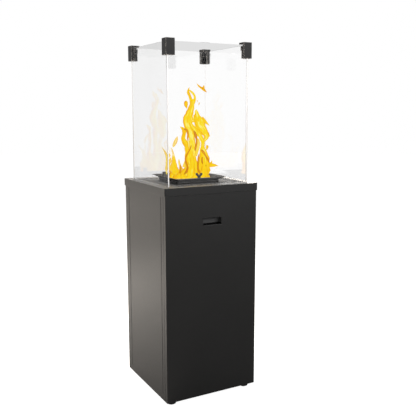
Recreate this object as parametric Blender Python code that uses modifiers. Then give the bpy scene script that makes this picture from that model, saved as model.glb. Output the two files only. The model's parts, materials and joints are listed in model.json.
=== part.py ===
"""Outdoor gas heater: a square sheet-steel cabinet that holds a gas cylinder, with a burner tray on top
and a glass wind guard round the flame.

Units are metres and +Z is up. The origin is on the floor below the middle of the cabinet, and the door
faces -Y. Seen from the front, +X is to the right.
"""

import math

import bmesh
import bpy
from mathutils import Matrix, Vector

# ---------------------------------------------------------------- driving dimensions
GAP = 0.0003                      # left between pieces that touch
SHEET = 0.002                     # cabinet sheet metal
THIN_SHEET = 0.0015               # burner and heat shield
THROUGH = 0.01                    # how far a cutter runs past what it cuts

CAP_WIDTH = 0.400                 # square cap plate
CAP_TOP = 0.848                   # its upper face above the floor
CAP_RIM = 0.0292                  # its folded rim
CAP_CORNER = 0.003
AIR_SLOT = (0.026, 0.006)         # length and width of the slots in the cap
AIR_SLOT_PITCH = 0.020
AIR_SLOT_REACH = 0.128            # inner ends of the slots, from the middle
AIR_SLOTS_EACH_WAY = 6

BODY_WIDTH = 0.394                # square cabinet below the cap
FRONT = -0.1779                   # front of the cabinet's frame, behind the door
FRONT_FLANGE = 0.022
REAR_FLANGE = 0.016
GROOVE_OFFSET = 0.158             # pressed grooves in the sides, from the middle
GROOVE = (0.0032, 0.0011)         # their width and depth
GROOVE_MARGIN = (0.025, 0.006)    # plain metal below and above a groove
PAN_DEPTH = 0.025
FOOT_HEIGHT = 0.016
FOOT_RADIUS = 0.019
FOOT_OFFSET = 0.165               # feet from the middle, both ways

GLASS_WIDTH = 0.3408              # outside of the glass box
GLASS_HEIGHT = 0.5255
GLASS_THICKNESS = 0.005
CLIP_OUT = 0.1802                 # outer faces of the corner clips from the middle
CLIP_LEG = 0.036
CLIP_HEIGHT = 0.060
CLIP_ABOVE_GLASS = 0.009
CLAMP_BELOW_TOP = 0.013           # the inner clamp's top under the clip's top
CLAMP_WALL = 0.0045
BOSS_HEIGHT = 0.0165

TRAY_RIM = 0.111                  # half widths of the burner tray
TRAY_THROAT = 0.092
TRAY_BASE = 0.088
TRAY_HEIGHT = 0.020
TRAY_STEP = 0.009                 # height at which the tray's walls start to flare
TRAY_LEDGE = 0.004                # width of its flat rim
TRAY_SHEET = 0.0016
BURNER_HALF = 0.060
BURNER_HEIGHT = 0.009
PORT = (0.014, 0.0026)            # length and width of a burner port
PORT_PITCH = (0.022, 0.015)
MIXER_BORE = 0.0115
MIXER_BOTTOM = 0.787
MIXER_HOLE = 0.020                # clearance hole in the cap and the shield
AIR_INLET_RADIUS = 0.0045
AIR_INLET_Z = 0.800
INJECTOR_BOTTOM = 0.768
SHIELD_HALF = 0.105
SHIELD_BOTTOM = 0.812

PILOT_X, PILOT_Y = -0.074, 0.066  # pilot hood, at the tray's left rear corner
PILOT_HALF = 0.007
PILOT_TOP = 0.033                 # its top above the cap
PILOT_HOLE = 0.009                # clearance hole in the cap and the shield
GUIDE_PLACE = (0.006, -0.076)     # forked flame guide, near the tray's front
GUIDE_TURN = math.radians(-20)
GUIDE_HEIGHT = 0.0345

DOOR_DEPTH = 0.0179
DOOR_BOTTOM = 0.0163
DOOR_TOP = 0.8180
DOOR_LIP = 0.020                  # inward flange round the back of the door
SLOT_WIDTH = 0.080                # finger slot in the door
SLOT_HEIGHT = 0.028
SLOT_CENTRE_Z = 0.712
CUP_DEPTH = 0.024
CUP_WALL = 0.0012
CUP_FLANGE = 0.006
CATCH_X = (-0.192, -0.178)        # magnetic catch at the door's free edge
CATCH_Z = (0.440, 0.480)

HINGE_X = 0.1968                  # vertical hinge axis
HINGE_Y = -0.1785
HINGE_HEIGHTS = {"lower": 0.130, "upper": 0.690}
HINGE_HALF = 0.025                # half of a hinge's height
KNUCKLE_RADIUS = 0.003
KNUCKLE_ROOM = 0.0008             # clearance round a knuckle
PIN_RADIUS = 0.0012
LEAF = 0.0012
LEAF_LENGTH = 0.022

CYLINDER_Y = 0.018                # the gas cylinder stands a little behind the middle
CYLINDER_RADIUS = 0.150
CYLINDER_WALL = 0.003
CYLINDER_LOW = 0.110              # where its straight wall starts and ends
CYLINDER_HIGH = 0.430
DOME_LOW = 0.065
DOME_HIGH = 0.080
DOME_STEPS = 8
NECK_RADIUS = 0.020
NECK_BORE = 0.014
NECK_TOP = 0.530
FOOT_RING_RADIUS = 0.108
GUARD_RADIUS = 0.100
GUARD_TOP = 0.610
OUTLET_Z = 0.560                  # the cylinder valve's outlet, towards -X
STEM_RADIUS = 0.004
HANDWHEEL_Z = 0.5865
HANDWHEEL_RADIUS = 0.027
REGULATOR_X = -0.074
REGULATOR_END = -0.126            # where the hose starts

PANEL_Y = -0.152                  # front face of the control panel
PANEL_BOTTOM = 0.690
PANEL_TOP = 0.7947
PANEL_FLANGE = 0.018
CONTROL_Z = 0.752
KNOB_X = -0.078
KNOB_RADIUS = 0.021
KNOB_DEPTH = 0.020
KNOB_TRAVEL = 0.005
BUTTON_X = 0.078
BUTTON_RADIUS = 0.0074
VALVE_HALF = 0.022
VALVE_DEPTH = 0.040
VALVE_INLET_REACH = 0.034         # end of the gas inlet, left of the spindle
SPINDLE_RADIUS = 0.0029
COLLAR_RADIUS = 0.0048
LEADS_ABOVE = 0.012               # leads and outlet above and below the spindle on the valve
LEADS_ASIDE = 0.013
OUTLET_BELOW = 0.010
LEAD_RADIUS = 0.0016              # pilot tube, thermocouple and ignition lead
PIPE_RADIUS = 0.004
HOSE_RADIUS = 0.0065
HOSE_WALL_X = -0.183              # the clipped run up the left side
SMOOTH_ANGLE = math.radians(35)   # faces that meet at less than this are shaded as one curve

# ---------------------------------------------------------------- places that follow from them
BODY_HALF = BODY_WIDTH / 2
INSIDE = BODY_HALF - SHEET        # inner faces of the side panels
FLOOR = FOOT_HEIGHT + GAP         # lowest edge of the cabinet
CAP_UNDER = CAP_TOP - SHEET
PANEL_HIGH = CAP_UNDER - GAP      # top of the side panels, rear panel and header
TRAY_FLOOR = CAP_TOP + GAP + TRAY_SHEET
CLIP_TOP = CAP_TOP + GLASS_HEIGHT + CLIP_ABOVE_GLASS
VALVE_FRONT = PANEL_Y + SHEET + GAP
VALVE_BACK = VALVE_FRONT + VALVE_DEPTH
VALVE_MIDDLE = (VALVE_FRONT + VALVE_BACK) / 2
IGNITER_BACK = 0.044              # the igniter's rear behind the panel's face
OUTLET_REACH = 0.008              # how far the valve's outlet stands out behind it

PARTS = "outdoor_gas_heater"
CUTTERS = "cutters"
DOOR_PIECES = ("front_door", "finger_cup", "catch_plate", "hinge_lower_door_leaf", "hinge_upper_door_leaf")


# ---------------------------------------------------------------- scene and small tools
def clear_scene():
    for obj in list(bpy.data.objects):
        bpy.data.objects.remove(obj)
    for name in (PARTS, CUTTERS):
        collection = bpy.data.collections.new(name)
        bpy.context.scene.collection.children.link(collection)


def make_materials():
    """The finishes as name: (colour, roughness, metallic)."""
    finishes = {
        "powder_coat": ((0.033, 0.032, 0.031), 0.5, 0.0),
        "clip_coat": ((0.045, 0.045, 0.043), 0.45, 0.0),
        "heatproof_coat": ((0.02, 0.02, 0.02), 0.7, 0.0),
        "zinc_steel": ((0.55, 0.56, 0.58), 0.4, 1.0),
        "stainless": ((0.6, 0.59, 0.57), 0.3, 1.0),
        "brass": ((0.78, 0.57, 0.25), 0.35, 1.0),
        "copper": ((0.85, 0.45, 0.3), 0.35, 1.0),
        "cylinder_paint": ((0.11, 0.16, 0.22), 0.4, 0.0),
        "regulator_alloy": ((0.62, 0.62, 0.62), 0.45, 1.0),
        "black_plastic": ((0.025, 0.025, 0.025), 0.45, 0.0),
        "red_plastic": ((0.45, 0.02, 0.015), 0.4, 0.0),
        "rubber": ((0.02, 0.02, 0.02), 0.8, 0.0),
        "hose_rubber": ((0.75, 0.22, 0.03), 0.6, 0.0),
        "ceramic": ((0.85, 0.83, 0.78), 0.4, 0.0),
        "glass": ((0.95, 0.98, 0.97), 0.02, 0.0),
    }
    for name, (colour, roughness, metallic) in finishes.items():
        made = bpy.data.materials.new(name)
        made.use_nodes = True
        shader = made.node_tree.nodes["Principled BSDF"]
        shader.inputs["Base Color"].default_value = (*colour, 1)
        shader.inputs["Roughness"].default_value = roughness
        shader.inputs["Metallic"].default_value = metallic
        if name == "glass":
            shader.inputs["Transmission Weight"].default_value = 1.0


def as_cutter(obj):
    obj.hide_render = True
    obj.display_type = "WIRE"
    return obj


def link(name, data, finish=None):
    """A new object, in the parts' collection, or among the cutters when it has no finish."""
    obj = bpy.data.objects.new(name, data)
    bpy.data.collections[PARTS if finish else CUTTERS].objects.link(obj)
    if finish:
        data.materials.append(bpy.data.materials[finish])
        return obj
    return as_cutter(obj)


def mesh_object(name, bm, finish=None):
    mesh = bpy.data.meshes.new(name)
    bm.normal_update()
    bm.to_mesh(mesh)
    bm.free()
    return link(name, mesh, finish)


def smooth(obj):
    """Shades a round piece as one curve, with its real edges left sharp."""
    obj.data.shade_smooth()
    obj.data.set_sharp_from_angle(angle=SMOOTH_ANGLE)
    return obj


def as_mesh(obj):
    """The same object with its curve or modifiers made into a plain, welded mesh."""
    bpy.context.view_layer.update()
    mesh = bpy.data.meshes.new_from_object(obj.evaluated_get(bpy.context.evaluated_depsgraph_get()))
    bm = bmesh.new()
    bm.from_mesh(mesh)
    bmesh.ops.remove_doubles(bm, verts=bm.verts, dist=0.00001)
    bmesh.ops.recalc_face_normals(bm, faces=bm.faces)
    bm.to_mesh(mesh)
    bm.free()
    name, matrix, collection = obj.name, obj.matrix_world.copy(), obj.users_collection[0]
    bpy.data.objects.remove(obj)
    new = bpy.data.objects.new(name, mesh)
    new.matrix_world = matrix
    collection.objects.link(new)
    return as_cutter(new) if collection.name == CUTTERS else new


def add_box(bm, low, high):
    """A box between two corners, added to a bmesh."""
    size = [h - l for l, h in zip(low, high)]
    centre = [(h + l) / 2 for l, h in zip(low, high)]
    matrix = Matrix.Translation(centre) @ Matrix.Diagonal((*size, 1))
    return bmesh.ops.create_cube(bm, size=1, matrix=matrix)["verts"]


def boxes(name, corners, finish=None):
    """One object made of boxes that stay clear of each other."""
    bm = bmesh.new()
    for low, high in corners:
        add_box(bm, low, high)
    return mesh_object(name, bm, finish)


def rod(name, radius, start, end, finish=None, sides=24):
    """A cylinder or prism between two points."""
    start, end = Vector(start), Vector(end)
    along = end - start
    bm = bmesh.new()
    bmesh.ops.create_cone(bm, cap_ends=True, segments=sides, radius1=radius, radius2=radius, depth=along.length)
    matrix = Matrix.Translation((start + end) / 2) @ along.to_track_quat("Z", "Y").to_matrix().to_4x4()
    bmesh.ops.transform(bm, matrix=matrix, verts=bm.verts)
    return smooth(mesh_object(name, bm, finish))


def upright_drill(name, radius, x, y, low, high, sides=24):
    """A vertical cutter through everything between two heights."""
    return rod(name, radius, (x, y, low), (x, y, high), sides=sides)


def panel_drill(name, radius, x):
    """A cutter through the control panel at a control's place."""
    return rod(name, radius, (x, PANEL_Y - THROUGH, CONTROL_Z), (x, PANEL_Y + THROUGH, CONTROL_Z))


def turned(name, profile, at, finish=None, steps=32, axis=(0, 0, 1)):
    """A profile of (radius, height) turned about a line through a point."""
    bm = bmesh.new()
    verts = [bm.verts.new((r, 0, z)) for r, z in profile]
    for a, b in zip(verts, verts[1:]):
        bm.edges.new((a, b))
    if profile[0][0] > 0:
        bm.edges.new((verts[-1], verts[0]))
    obj = mesh_object(name, bm, finish)
    screw = obj.modifiers.new("Turn", "SCREW")
    screw.axis = "Z"
    screw.steps = steps
    screw.render_steps = steps
    screw.use_merge_vertices = True
    screw.merge_threshold = 0.0001
    obj.location = at
    obj.rotation_euler = Vector(axis).to_track_quat("Z", "Y").to_euler()
    return smooth(as_mesh(obj))


def extruded(name, outline, depth, finish=None, holes=()):
    """A flat outline in XY, filled and given a thickness, centred on its own plane."""
    curve = bpy.data.curves.new(name, "CURVE")
    curve.dimensions = "2D"
    curve.fill_mode = "BOTH"
    curve.extrude = depth / 2
    for loop in (outline, *holes):
        spline = curve.splines.new("POLY")
        spline.points.add(len(loop) - 1)
        for point, (x, y) in zip(spline.points, loop):
            point.co = (x, y, 0, 1)
        spline.use_cyclic_u = True
    return link(name, curve, finish)


def tube(name, route, radius, finish, resolution=2):
    """A round tube along a list of points."""
    curve = bpy.data.curves.new(name, "CURVE")
    curve.dimensions = "3D"
    curve.bevel_depth = radius
    curve.bevel_resolution = resolution
    curve.use_fill_caps = True
    spline = curve.splines.new("POLY")
    spline.points.add(len(route) - 1)
    for point, place in zip(spline.points, route):
        point.co = (*place, 1)
    return link(name, curve, finish)


def combine(obj, tool, operation):
    """Cuts the tool from an object, or joins it on."""
    boolean = obj.modifiers.new(operation.title(), "BOOLEAN")
    boolean.operation = operation
    boolean.solver = "EXACT"
    boolean.object = tool
    return obj


def cut(obj, tool):
    return combine(obj, tool, "DIFFERENCE")


def join(obj, tool):
    return combine(obj, tool, "UNION")


def round_edges(obj, width, segments=2):
    """Rounds every edge sharper than 50 degrees."""
    bevel = obj.modifiers.new("Round", "BEVEL")
    bevel.width = width
    bevel.segments = segments
    bevel.limit_method = "ANGLE"
    bevel.angle_limit = math.radians(50)
    return obj


def thicken(obj, thickness, offset=-1.0):
    """Gives an open sheet its thickness, inwards unless the offset says otherwise."""
    solid = obj.modifiers.new("Sheet", "SOLIDIFY")
    solid.thickness = thickness
    solid.offset = offset
    solid.use_even_offset = True
    return obj


def pan(name, low, high, open_side, thickness, finish, lip=0.0, corner=0.0):
    """A folded sheet-metal box, open towards one side, with an optional inward lip round the opening."""
    bm = bmesh.new()
    add_box(bm, low, high)
    side = Vector(open_side)
    bm.normal_update()
    if corner:
        along = [e for e in bm.edges
                 if abs((e.verts[0].co - e.verts[1].co).normalized().dot(side)) > 0.9]
        bmesh.ops.bevel(bm, geom=along, offset=corner, segments=3, profile=0.5, affect="EDGES")
        bm.normal_update()
    faces = [f for f in bm.faces if f.normal.dot(side) > 0.9]
    if lip:
        bmesh.ops.inset_individual(bm, faces=faces, thickness=lip)
    bmesh.ops.delete(bm, geom=faces, context="FACES")
    return thicken(mesh_object(name, bm, finish), thickness)


def folded(name, path, start, end, finish, axis="Z"):
    """A sheet folded along parallel lines: a path across the folds, drawn out along X or Z."""
    bm = bmesh.new()
    if axis == "Z":
        verts = [bm.verts.new((a, b, start)) for a, b in path]
        travel = Vector((0, 0, end - start))
    else:
        verts = [bm.verts.new((start, a, b)) for a, b in path]
        travel = Vector((end - start, 0, 0))
    edges = [bm.edges.new(pair) for pair in zip(verts, verts[1:])]
    moved = bmesh.ops.extrude_edge_only(bm, edges=edges)["geom"]
    bmesh.ops.translate(bm, vec=travel, verts=[v for v in moved if isinstance(v, bmesh.types.BMVert)])
    bmesh.ops.recalc_face_normals(bm, faces=bm.faces)
    return thicken(mesh_object(name, bm, finish), SHEET)


def bezier(p0, p1, p2, p3, count):
    """Points along one cubic curve, its end included and its start left out."""
    points = []
    for i in range(1, count + 1):
        t = i / count
        s = 1 - t
        points.append(Vector(p0) * s**3 + Vector(p1) * 3 * s * s * t + Vector(p2) * 3 * s * t * t
                      + Vector(p3) * t**3)
    return points


def ring_outline(radius, count, waves=0, depth=0.0):
    """A circle's points, with an optional even wave for a grip."""
    points = []
    for i in range(count):
        angle = 2 * math.pi * i / count
        r = radius + depth * math.cos(waves * angle)
        points.append((r * math.cos(angle), r * math.sin(angle)))
    return points


def corners():
    """Each corner's name, and its signs along X and Y."""
    return [(f"{row}_{side}", sx, sy) for row, sy in (("front", -1), ("rear", 1))
            for side, sx in (("left", -1), ("right", 1))]


# ---------------------------------------------------------------- feet and cabinet
def make_feet():
    top = FOOT_HEIGHT - GAP
    profile = [(0, top), (FOOT_RADIUS - 0.001, top), (FOOT_RADIUS, top - 0.001), (FOOT_RADIUS, 0.005),
               (FOOT_RADIUS - 0.0015, 0.0018), (FOOT_RADIUS - 0.0045, 0), (0, 0)]
    for name, sx, sy in corners():
        turned(f"foot_{name}", profile, (sx * FOOT_OFFSET, sy * FOOT_OFFSET, 0), "rubber", steps=28)


def make_bottom_pan():
    obj = pan("bottom_pan", (-INSIDE + GAP, FRONT + SHEET + GAP, FLOOR),
              (INSIDE - GAP, BODY_HALF - 2 * SHEET - GAP, FLOOR + PAN_DEPTH), (0, 0, 1), SHEET, "powder_coat")
    half_width, half_length = 0.005, 0.030
    slots = []
    for x in (-0.06, 0, 0.06):
        for y in (-0.03, 0.06):
            slots.append(((x - half_width, y - half_length, FLOOR - THROUGH),
                          (x + half_width, y + half_length, FLOOR + THROUGH)))
    return cut(obj, boxes("pan_vents", slots))


def make_side_panels():
    """Each side is one sheet, folded in at the front and the rear, with two pressed grooves."""
    low, high = FLOOR, PANEL_HIGH
    width, depth = GROOVE
    groove_low, groove_high = low + GROOVE_MARGIN[0], CAP_TOP - CAP_RIM - GROOVE_MARGIN[1]
    for side, s in (("left", -1), ("right", 1)):
        x = s * BODY_HALF
        path = [(x - s * FRONT_FLANGE, FRONT), (x, FRONT), (x, INSIDE), (x - s * REAR_FLANGE, INSIDE)]
        obj = folded(f"side_panel_{side}", path, low, high, "powder_coat")
        near, far = sorted((x + s * THROUGH, x - s * depth))
        grooves = [((near, y - width / 2, groove_low), (far, y + width / 2, groove_high))
                   for y in (-GROOVE_OFFSET, GROOVE_OFFSET)]
        cut(obj, boxes(f"grooves_{side}", grooves))
        if side == "right":
            cut(obj, hinge_notches("side_hinge_notches"))


def hinge_notches(name):
    """Clearance round the knuckles at the edge that the door and the cabinet share."""
    reach, end = KNUCKLE_RADIUS + KNUCKLE_ROOM, HINGE_HALF + 0.001
    return boxes(name, [((HINGE_X - reach, HINGE_Y - reach, z - end),
                         (BODY_HALF + THROUGH, HINGE_Y + reach, z + end)) for z in HINGE_HEIGHTS.values()])


def make_rear_panel():
    obj = boxes("rear_panel", [((-INSIDE + GAP, INSIDE + GAP, FLOOR), (INSIDE - GAP, BODY_HALF, PANEL_HIGH))],
                "powder_coat")
    half_length, height, pitch, rows = 0.055, 0.006, 0.018, 5
    vents = []
    for base in (0.075, 0.700):
        for row in range(rows):
            for x in (-0.075, 0.075):
                z = base + row * pitch
                vents.append(((x - half_length, BODY_HALF - THROUGH, z),
                              (x + half_length, BODY_HALF + THROUGH, z + height)))
    return cut(obj, boxes("rear_vents", vents))


def make_front_header():
    """An angle across the front below the cap. The control panel hangs behind it."""
    side = BODY_HALF - FRONT_FLANGE - GAP
    low = PANEL_TOP + GAP
    path = [(FRONT, PANEL_HIGH), (FRONT, low), (PANEL_Y + 0.004, low)]
    return folded("front_header", path, -side, side, "powder_coat", axis="X")


def make_cap_plate():
    half, low, high = CAP_WIDTH / 2, CAP_TOP - THROUGH, CAP_TOP + THROUGH
    obj = pan("cap_plate", (-half, -half, CAP_TOP - CAP_RIM), (half, half, CAP_TOP), (0, 0, -1), SHEET,
              "powder_coat", corner=CAP_CORNER)
    length, width = AIR_SLOT
    slots = []
    for i in range(-AIR_SLOTS_EACH_WAY, AIR_SLOTS_EACH_WAY + 1):
        a = i * AIR_SLOT_PITCH
        for s in (-1, 1):
            near, far = sorted((s * AIR_SLOT_REACH, s * (AIR_SLOT_REACH + length)))
            slots.append(((a - width / 2, near, low), (a + width / 2, far, high)))
            slots.append(((near, a - width / 2, low), (far, a + width / 2, high)))
    cut(obj, boxes("air_slots", slots))
    cut(obj, upright_drill("mixer_hole", MIXER_HOLE, 0, 0, low, high))
    return cut(obj, upright_drill("pilot_hole", PILOT_HOLE, PILOT_X, PILOT_Y, low, high, sides=16))


def make_heat_shield():
    """A shallow pan below the cap that keeps the tray's heat from the cabinet."""
    half, low, high = SHIELD_HALF, SHIELD_BOTTOM - THROUGH, SHIELD_BOTTOM + THROUGH
    obj = pan("heat_shield", (-half, -half, SHIELD_BOTTOM), (half, half, CAP_UNDER - GAP), (0, 0, 1), THIN_SHEET,
              "zinc_steel")
    cut(obj, upright_drill("shield_mixer_hole", MIXER_HOLE, 0, 0, low, high))
    return cut(obj, upright_drill("shield_pilot_hole", PILOT_HOLE, PILOT_X, PILOT_Y, low, high, sides=16))


# ---------------------------------------------------------------- door and hinges
def make_door():
    door = pan("front_door", (-BODY_HALF, -BODY_HALF, DOOR_BOTTOM),
               (BODY_HALF, -BODY_HALF + DOOR_DEPTH, DOOR_TOP), (0, 1, 0), SHEET, "powder_coat", lip=DOOR_LIP)
    cut(door, slot_block("finger_slot", 0, -BODY_HALF - THROUGH, -BODY_HALF + THROUGH))
    cut(door, hinge_notches("door_hinge_notches"))

    plate_x = (CATCH_X[0], CATCH_X[0] + 0.012)
    plate_y = -BODY_HALF + DOOR_DEPTH - SHEET - GAP
    boxes("catch_plate", [((plate_x[0], plate_y - 0.0012, CATCH_Z[0]), (plate_x[1], plate_y, CATCH_Z[1]))],
          "zinc_steel")


def slot_block(name, margin, near, far, finish=None):
    """A block over the finger slot, wider than it by a margin all round."""
    x, z = SLOT_WIDTH / 2 + margin, SLOT_HEIGHT / 2 + margin
    return boxes(name, [((-x, near, SLOT_CENTRE_Z - z), (x, far, SLOT_CENTRE_Z + z))], finish)


def make_finger_cup():
    """The moulded cup behind the finger slot, with a flange against the back of the door's face."""
    front = -BODY_HALF + SHEET + GAP
    x, z = SLOT_WIDTH / 2 + CUP_WALL, SLOT_HEIGHT / 2 + CUP_WALL
    cup = pan("finger_cup", (-x, front, SLOT_CENTRE_Z - z),
              (x, -BODY_HALF + CUP_DEPTH + CUP_WALL, SLOT_CENTRE_Z + z), (0, -1, 0), CUP_WALL, "black_plastic")
    join(cup, slot_block("cup_flange", CUP_FLANGE, front, front + CUP_WALL))
    return cut(cup, slot_block("cup_mouth", 0, front - 0.001, front + 0.004))


def make_hinges():
    """Two lift-off hinges: a leaf on the cabinet that holds the pin, and a leaf on the door."""
    leaf_x = INSIDE - GAP - LEAF
    for name, z in HINGE_HEIGHTS.items():
        low, high = z - HINGE_HALF, z + HINGE_HALF
        halves = (("frame", HINGE_Y + LEAF_LENGTH, low, z - GAP),
                  ("door", -BODY_HALF + SHEET + GAP, z + GAP, high))
        for owner, reach, start, end in halves:
            near, far = sorted((HINGE_Y, reach))
            leaf = boxes(f"hinge_{name}_{owner}_leaf", [((leaf_x, near, start), (leaf_x + LEAF, far, end))],
                         "zinc_steel")
            knuckle = rod(f"knuckle_{name}_{owner}", KNUCKLE_RADIUS, (HINGE_X, HINGE_Y, start),
                          (HINGE_X, HINGE_Y, end), sides=20)
            bore = upright_drill(f"bore_{name}_{owner}", PIN_RADIUS + GAP, HINGE_X, HINGE_Y, start - THROUGH,
                                 end + THROUGH, sides=20)
            cut(join(leaf, knuckle), bore)
        rod(f"hinge_{name}_pin", PIN_RADIUS, (HINGE_X, HINGE_Y, low + 0.001), (HINGE_X, HINGE_Y, high - 0.001),
            "stainless", sides=16)


def make_magnet_catch():
    boxes("magnet_catch", [((CATCH_X[0], FRONT + SHEET + GAP, CATCH_Z[0]), (CATCH_X[1], FRONT + 0.016, CATCH_Z[1]))],
          "black_plastic")


def hang_door():
    """The door's pieces hang from an empty on the hinge axis."""
    axis = bpy.data.objects.new("door_axis", None)
    axis.location = (HINGE_X, HINGE_Y, 0)
    bpy.data.collections[PARTS].objects.link(axis)
    for name in DOOR_PIECES:
        piece = bpy.data.objects[name]
        piece.parent = axis
        piece.matrix_parent_inverse = Matrix.Translation((-HINGE_X, -HINGE_Y, 0))


# ---------------------------------------------------------------- burner
def make_tray():
    """A square pan with upright lower walls, flared upper walls and a narrow flat rim."""
    bm = bmesh.new()
    base = CAP_TOP + GAP
    radius = TRAY_BASE * math.sqrt(2)
    square = Matrix.Translation((0, 0, base + TRAY_STEP / 2)) @ Matrix.Rotation(math.radians(45), 4, "Z")
    bmesh.ops.create_cone(bm, cap_ends=True, segments=4, radius1=radius, radius2=radius, depth=TRAY_STEP,
                          matrix=square)
    bm.normal_update()
    bmesh.ops.delete(bm, geom=[f for f in bm.faces if f.normal.z > 0.9], context="FACES")
    levels = ((TRAY_THROAT, TRAY_STEP + 0.002), (TRAY_RIM - TRAY_LEDGE, TRAY_HEIGHT - 0.001),
              (TRAY_RIM, TRAY_HEIGHT - 0.0005))
    half = TRAY_BASE
    for next_half, height in levels:
        rim = [e for e in bm.edges if e.is_boundary]
        made = bmesh.ops.extrude_edge_only(bm, edges=rim)["geom"]
        for v in (g for g in made if isinstance(g, bmesh.types.BMVert)):
            v.co.x *= next_half / half
            v.co.y *= next_half / half
            v.co.z = base + height
        half = next_half
    bmesh.ops.recalc_face_normals(bm, faces=bm.faces)
    tray = thicken(mesh_object("burner_tray", bm, "heatproof_coat"), TRAY_SHEET, offset=1.0)
    low, high = base - THROUGH, base + TRAY_STEP / 2
    cut(tray, upright_drill("tray_mixer_hole", MIXER_BORE + 0.003, 0, 0, low, high, sides=28))
    return cut(tray, upright_drill("tray_pilot_hole", 0.006, PILOT_X, PILOT_Y, low, high, sides=16))


def make_burner():
    """A flat perforated burner over the mixing tube, which rises from the injector."""
    half, top = BURNER_HALF, TRAY_FLOOR + BURNER_HEIGHT
    plate = pan("burner_plate", (-half, -half, TRAY_FLOOR + GAP), (half, half, top), (0, 0, -1), THIN_SHEET,
                "stainless")
    length, width = PORT
    ports = []
    for column in range(-2, 3):
        for row in range(-3, 4):
            x, y = column * PORT_PITCH[0], row * PORT_PITCH[1]
            ports.append(((x - length / 2, y - width / 2, top - BURNER_HEIGHT / 2),
                          (x + length / 2, y + width / 2, top + THROUGH)))
    cut(plate, boxes("burner_ports", ports))

    bore, outside, tube_top = MIXER_BORE, MIXER_BORE + THIN_SHEET, TRAY_FLOOR + 0.003
    profile = [(bore, MIXER_BOTTOM), (bore, tube_top), (outside, tube_top), (outside, MIXER_BOTTOM)]
    mixer = turned("mixing_tube", profile, (0, 0, 0), "stainless", steps=24)
    for name, reach in (("x", Vector((0.03, 0, 0))), ("y", Vector((0, 0.03, 0)))):
        middle = Vector((0, 0, AIR_INLET_Z))
        cut(mixer, rod(f"air_inlet_{name}", AIR_INLET_RADIUS, middle - reach, middle + reach, sides=16))


def make_injector():
    """The brass jet below the mixing tube, with a hexagon-sized collar at its foot."""
    top, shoulder, collar = MIXER_BOTTOM - 0.0004, MIXER_BOTTOM - 0.005, MIXER_BOTTOM - 0.011
    jet = [(0, top), (0.004, top), (0.0065, shoulder), (0.0065, collar), (0.0085, collar),
           (0.0085, INJECTOR_BOTTOM), (0, INJECTOR_BOTTOM)]
    turned("gas_injector", jet, (0, 0, 0), "brass", steps=12)


def make_pilot():
    """The pilot hood near the tray's left rear corner."""
    low, top, half, wall = TRAY_FLOOR + GAP, CAP_TOP + PILOT_TOP, PILOT_HALF, THIN_SHEET
    hood = boxes("pilot_hood", [((PILOT_X - half, PILOT_Y - half, low), (PILOT_X + half, PILOT_Y + half, top))],
                 "heatproof_coat")
    well = boxes("pilot_well", [((PILOT_X - half + wall, PILOT_Y - half + wall, low - 0.002),
                                 (PILOT_X + half - wall, PILOT_Y + half - wall, top - wall))])
    mouth = boxes("pilot_mouth", [((PILOT_X, PILOT_Y - 0.004, top - 0.010),
                                   (PILOT_X + 2 * half, PILOT_Y + 0.004, top - 2 * wall))])
    cut(cut(hood, well), mouth)


def make_flame_guide():
    """The forked plate that stands in the tray near its front."""
    prong, stem, tip = 0.0132, 0.0062, 0.0062
    fork, shoulder, crotch = GUIDE_HEIGHT * 0.60, GUIDE_HEIGHT * 0.78, GUIDE_HEIGHT * 0.76
    outline = [(-stem, 0), (stem, 0), (stem, fork), (prong, shoulder), (prong, GUIDE_HEIGHT),
               (tip, GUIDE_HEIGHT), (0, crotch), (-tip, GUIDE_HEIGHT), (-prong, GUIDE_HEIGHT),
               (-prong, shoulder), (-stem, fork)]
    guide = extruded("flame_guide", outline, 0.0025, "heatproof_coat")
    guide.rotation_euler = (math.radians(90), 0, GUIDE_TURN)
    guide.location = (*GUIDE_PLACE, TRAY_FLOOR + GAP)


def make_leads():
    """The thermocouple, pilot tube and ignition lead, from the pilot hood down to the controls."""
    top = CAP_TOP + PILOT_TOP - 0.006
    pitch = 0.0028
    valve_z = CONTROL_Z + LEADS_ABOVE
    leads = {
        "thermocouple": ("copper", (-pitch, pitch), (KNOB_X + LEADS_ASIDE, VALVE_BACK + GAP, valve_z), 0.060),
        "pilot_gas_tube": ("copper", (-pitch, -pitch), (KNOB_X - LEADS_ASIDE, VALVE_BACK + GAP, valve_z), 0.060),
        "ignition_electrode": ("ceramic", (pitch, 0), (BUTTON_X, PANEL_Y + IGNITER_BACK + 0.0005, CONTROL_Z), 0.175),
    }
    for name, (finish, (dx, dy), end, sweep) in leads.items():
        tip = Vector((PILOT_X + dx, PILOT_Y + dy, top))
        bend = Vector((tip.x, tip.y, SHIELD_BOTTOM - 0.012))
        end = Vector(end)
        arrive = end + Vector((0, 0.006, 0))
        route = [tip, (tip + bend) / 2, bend]
        route += bezier(bend, bend - Vector((0, 0, 0.030)), arrive + Vector((0, sweep, 0.010)), arrive, 14)
        route.append(end)
        tube(name, route, LEAD_RADIUS, finish, resolution=1)


def make_supply_pipe():
    """The gas pipe from the control valve's outlet to the injector."""
    start = Vector((KNOB_X, VALVE_BACK + OUTLET_REACH + GAP, CONTROL_Z - OUTLET_BELOW))
    end = Vector((0, 0, INJECTOR_BOTTOM - GAP))
    bend = end - Vector((0, 0, 0.006))
    leave = start + Vector((0, 0.006, 0))
    route = [start, leave]
    route += bezier(leave, leave + Vector((0, 0.070, 0)), bend - Vector((0, 0, 0.060)), bend, 18)
    route.append(end)
    tube("supply_pipe", route, PIPE_RADIUS, "copper")


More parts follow.
